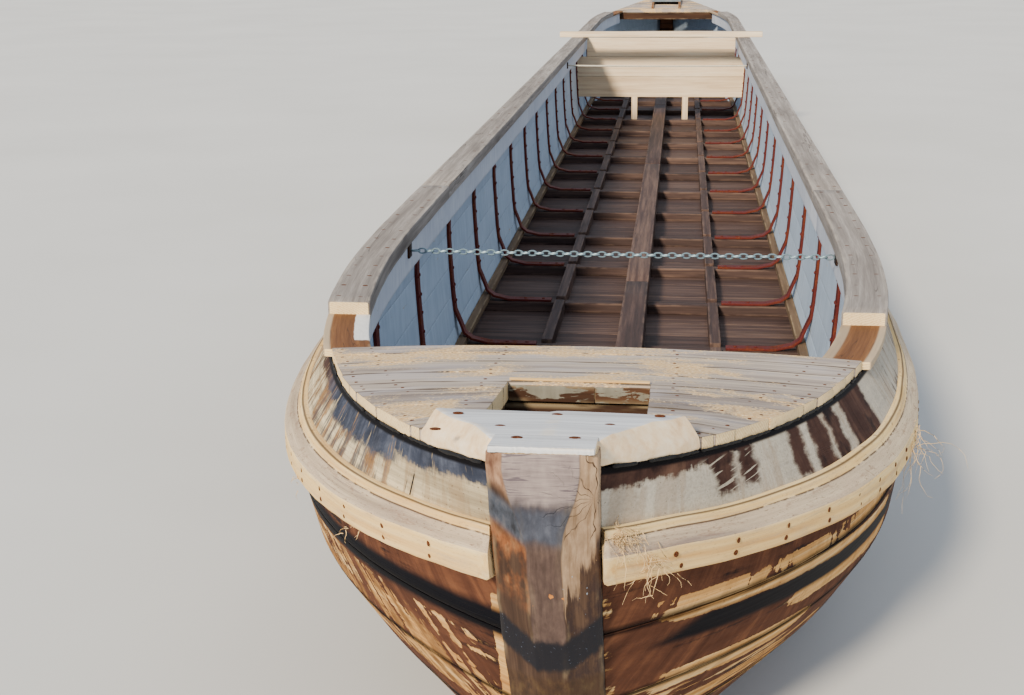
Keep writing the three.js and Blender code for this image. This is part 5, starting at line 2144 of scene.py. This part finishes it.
@dataclass
class Steering:
    """The big wooden rudder with its irons and pins, and the ash tiller."""

    front: float = HULL_LENGTH + 0.008
    half: float = 0.035
    pin: float = 0.012
    # height, and reach aft of the front edge, from the heel to the head
    back: tuple[tuple[float, float], ...] = (
        (0.0603, 0.56), (0.15, 0.772), (0.64, 0.772), (0.86, 0.42), (1.01, 0.21), (1.76, 0.19), (1.81, 0.12))
    # heights where the blade has a ring: its bends, and the edges of the notches for the gudgeons
    breaks: tuple[float, ...] = (
        0.0603, 0.1, 0.15, 0.25, 0.36, 0.4795, 0.5405, 0.6, 0.64, 0.7, 0.78, 0.86, 0.93, 1.0095, 1.0705, 1.2,
        1.35, 1.5, 1.6215, 1.6785, 1.76, 1.798)
    stock: float = 0.118
    notch: float = 0.075
    planks: tuple[float, ...] = (0.305, 0.54, 0.772)

    def reach(self, z: float) -> float:
        """Gives the blade's reach aft of its front edge at a height."""
        table = np.array(self.back)
        return float(np.interp(z, table[:, 0], table[:, 1]))

    def section(self, z: float, outline: Iterable[Spot]) -> list[np.ndarray]:
        """Writes a level section of the blade.

        Args:
            z: Its height.
            outline: Places across the blade, and aft of its front edge.

        Returns:
            The corners.
        """
        return [corner(x, self.front + d, z, (z, d, x), (3.1 + d, 0.2 + z * 0.25, 1)) for x, d in outline]

    def blade(self, shell: Shell) -> None:
        """Builds the stock, notched for the gudgeons, and the planks behind it.

        Args:
            shell: The mesh that they join.
        """
        half = self.half
        outline = ((-0.014, 0.0), (0.014, 0.0), (half, 0.022), (half, self.stock), (-half, self.stock),
                   (-half, 0.022))
        (low_a, high_a), (low_b, high_b) = notches = [(z - 0.0005, z + 0.0605) for z in HINGES]
        for low, high in ((self.breaks[0], low_a), (high_a, low_b), (high_b, self.breaks[-1])):
            heights = [z for z in self.breaks if low - 1e-6 <= z <= high + 1e-6]
            shell.plank((self.section(z, outline) for z in heights), Edges(0.004, 0.006), round_end=0.004)
        for low, high in notches:
            outline = level(-half, half, self.notch, self.stock)
            sections = [self.section(z, outline) for z in (low, (low + high) / 2, high)]
            shell.plank(sections, Edges(0.003, 0.006), round_end=0.001)
        inner = self.stock + 0.0005
        for k, outer in enumerate(self.planks):
            sections = []
            for z in self.breaks[:-1]:
                r = min(self.reach(z), outer)
                if r >= inner + 0.004:
                    outline = ((-half, inner), (half, inner), (half * 0.9, r), (-half * 0.9, r))
                    sections.append(self.section(z, outline))
            shell.plank(sections, Edges(0.005, 0.008), tone=0.2 + 0.25 * k, round_end=0.004)
            inner = outer + 0.0006

    def irons(self, shell: Shell) -> None:
        """Adds the straps with their bolts, and the pins in the gudgeons.

        Args:
            shell: The mesh that they join.
        """
        for low in HINGES:
            z = low + 0.1
            r = min(self.reach(low + 0.09) - 0.03, 0.6)
            for side in (-1, 1):
                shell.bar((side * (self.half + 0.003), self.front + 0.05, z),
                          (side * (self.half + 0.0026), self.front + r, z), 0.006, 0.05, Edges(0.0015), 1, 1,
                          rings=4)
                for k in range(5):
                    s = self.front + 0.08 + (r - 0.12) * k / 4
                    shell.button((side * (self.half + 0.006), s, z), (side, 0, 0), 0.009, 0.004, 1)
            column = [np.array([[self.pin * c, y_at(HINGE_AT + self.pin * s), h,
                                 h, c * 0.01, s * 0.01, 0, 0, 0, 0.2] for c, s in circle(14)])
                      for h in (low - 0.008, low - 0.004, low + 0.064, low + 0.068)]
            shell.loft(column, 1, 1, 0.5, 0.002)

    def rudder(self) -> None:
        """Builds the blade and its irons."""
        shell = Shell()
        self.blade(shell)
        self.irons(shell)
        shell.build("rudder_blade", ("side", "dark"), "tarred_wood", "rudder", body="rudder")

    def tiller(self) -> None:
        """Builds the tapering tiller, its grip rounded by hands."""
        shell = Shell()
        a, b = Vector((0, y_at(HULL_LENGTH + 0.23), 1.65)), Vector((0, y_at(HULL_LENGTH - 1.35), 1.74))
        rings = []
        for i in range(33):
            t = i / 32
            grip = min(1.0, max(0.0, (t - 0.6) / 0.1))
            w, h = 0.022 - 0.005 * t - 0.002 * grip, 0.026 - 0.009 * t
            m = a.lerp(b, t)
            ring = [np.array([m.x + u * w, m.y, m.z + v * h + 0.002 * math.sin(t * 3), 1.58 * t, u * w, v * h,
                              0, 0, 0]) for u, v in level(-1, 1, -1, 1)]
            rings.append(Edges(0.005 + 0.010 * grip, 0.004, 3).soften(ring))
        shell.loft(rings, 0, 1, 0.5, 0.006)
        shell.build("tiller_bar", ("ash", "cut"), "weathered_wood", "tiller", body="rudder")

    def build(self) -> None:
        """Builds them."""
        self.rudder()
        self.tiller()


@dataclass
class Caulking:
    """Pitch along the deck's edge, and the tufts of oakum at the guards' ends."""

    first: float = 0.12
    last: float = 1.5
    hair: float = 0.0011
    # each tuft: side, distance along the guard, height over the sheer, strands, length
    tufts: tuple[tuple[int, float, float, int, float], ...] = (
        (1, 0.02, -0.15, 90, 0.07), (1, 0.055, -0.155, 40, 0.07), (1, 0.065, -0.20, 18, 0.11),
        (1, 1.40, -0.22, 16, 0.20), (1, 1.52, -0.20, 20, 0.12), (-1, 0.45, -0.256, 8, 0.03),
        (-1, 0.9, -0.256, 8, 0.03))

    def pitch(self) -> None:
        """Lays the lumpy bead of pitch between deck and side."""
        rng = np.random.default_rng(9)
        shell = Shell()
        for side in (-1, 1):
            start = self.first
            while start < self.last:
                stop = min(self.last, start + float(rng.uniform(0.05, 0.2)))
                n = max(4, int((stop - start) / 0.006))
                fat = rng.uniform(0.0015, 0.0045, n + 1)
                fat = np.convolve(np.pad(fat, 1, "edge"), [0.25, 0.5, 0.25], "valid")
                rings = []
                for i in range(n + 1):
                    at = start + (stop - start) * i / n
                    x = side * (LINES.side_half(at) + 0.0006)
                    r = fat[i] * (0.35 if i in (0, n) else 1)
                    z = LINES.sheer(at) - 0.001
                    rings.append(np.array([[x + r * c, y_at(at), z + 1.3 * r * s, at, r * j, 0, 0, 0, 0, 0.4]
                                           for j, (c, s) in enumerate(circle(6))]))
                shell.loft(rings, round_end=0.001)
                start = stop + float(rng.uniform(0.0, 0.04))
        shell.build("pitch_beads", ("pitch",), "tarred_wood")

    def tuft(self, shell: Shell, rng: np.random.Generator, at: Vector, out: Vector, count: int,
             length: float) -> None:
        """Adds one tuft.

        Args:
            shell: The mesh that it joins.
            rng: Where its disorder comes from.
            at: Where it starts.
            out: Which way it hangs at first.
            count: How many strands.
            length: Their usual length.
        """
        steps = 9
        for _ in range(count):
            p = at + Vector(rng.normal(0, 0.010, 3))
            heading = (out + Vector(rng.normal(0, 0.6, 3))).normalized()
            run = length * float(rng.uniform(0.4, 1.2)) / steps
            rings = []
            for i in range(steps + 1):
                side = heading.orthogonal().normalized()
                over = heading.cross(side)
                r = self.hair * (1 - 0.75 * i / steps)
                rings.append(np.array([[*(p + side * (r * math.cos(a)) + over * (r * math.sin(a))), i * run,
                                        a * 0.01, 0, 0, 0, 0, 0.0] for a in (0, 2.094, 4.189)]))
                p = p + heading * run
                heading = (heading + Vector(rng.normal(0, 0.35, 3)) + Vector((0, 0, -0.14))).normalized()
            shell.loft(rings, tone=float(rng.random()), round_end=0.0002)

    def oakum(self) -> None:
        """Sets the tufts at the right guard's two ends and a few on the left."""
        rng = np.random.default_rng(31)
        shell = Shell()
        for side, u, drop, count, length in self.tufts:
            x, d, z = Guards().point(BOW, u, -0.046 if drop < -0.16 else -0.012, drop)
            out = Vector((side * 0.4, -0.5, -0.3)) if u < 1 else Vector((side * -0.1, -0.3, -1.0))
            self.tuft(shell, rng, Vector((side * x, y_at(d), z)), out, count, length)
        shell.build("oakum_tufts", ("oakum",), "white_rope")

    def build(self) -> None:
        """Builds them."""
        self.pitch()
        self.oakum()


@dataclass
class Studio:
    """Camera at the photograph's place, a pale floor and soft light."""

    lens: float = 50.0
    sensor: float = 36
    at: tuple[float, float, float] = (0.234, -13.34, 2.297)
    turned: float = 6.75
    tipped: float = 16.39
    rolled: float = 0.53
    sky: Colour = (0.74, 0.85, 1.0, 1)
    sun: float = 6.4
    sun_colour: tuple[float, float, float] = (1.0, 0.88, 0.70)
    sun_from: tuple[float, float, float] = (-0.30, -0.86, 0.52)

    def camera(self) -> None:
        """Sets the camera."""
        data = bpy.data.cameras.new("photo_camera")
        data.lens, data.sensor_width, data.clip_end = self.lens, self.sensor, 300
        camera = show("photo_camera", data)
        camera.matrix_world = Matrix.Translation(self.at)
        for angle, axis in ((self.turned, "Z"), (90 - self.tipped, "X"), (-self.rolled, "Z")):
            camera.matrix_world @= Matrix.Rotation(math.radians(angle), 4, axis)
        bpy.context.scene.camera = camera

    def floor(self) -> None:
        """Lays the floor."""
        mesh = bpy.data.meshes.new("studio_floor")
        mesh.from_pydata([(x, y, -0.001) for x, y in level(-150.0, 150.0, -150.0, 150.0)], [], [(0, 1, 2, 3)])
        floor = show("studio_floor", mesh)
        b = Bench("studio_floor")
        spots = b.mottle(b.node("TexCoord", None, out="Object"), 0.4)
        mesh.materials.append(b.coat(b.tones(spots, "cdcbc6", "d6d4cf"), 0.9))

    def light(self) -> None:
        """Sets the sky and a low soft sun."""
        world = bpy.data.worlds.new("studio_sky")
        world.use_nodes = True
        sky = world.node_tree.nodes["Background"]
        sky.inputs["Color"].default_value = self.sky
        sky.inputs["Strength"].default_value = 1.0
        bpy.context.scene.world = world
        sun = bpy.data.lights.new("soft_sun", "SUN")
        sun.energy, sun.angle, sun.color = self.sun, math.radians(7), self.sun_colour
        show("soft_sun", sun).rotation_euler = Vector(self.sun_from).to_track_quat("Z", "Y").to_euler()

    def build(self) -> None:
        """Builds it all."""
        self.camera()
        self.floor()
        self.light()


def main() -> None:
    """Builds the boat in order and reports each piece."""
    logging.basicConfig(level=logging.INFO, format="%(name)s %(message)s")
    parts = (Studio(), Planking(), Guards(), Gunwales(), EndDeck(BOW), EndDeck(STERN), HatchLid(), Posts(),
             Steering(), Caulking(), Framing(), HoldGear())
    for part in parts:
        part.build()


if __name__ == "__main__":
    main()
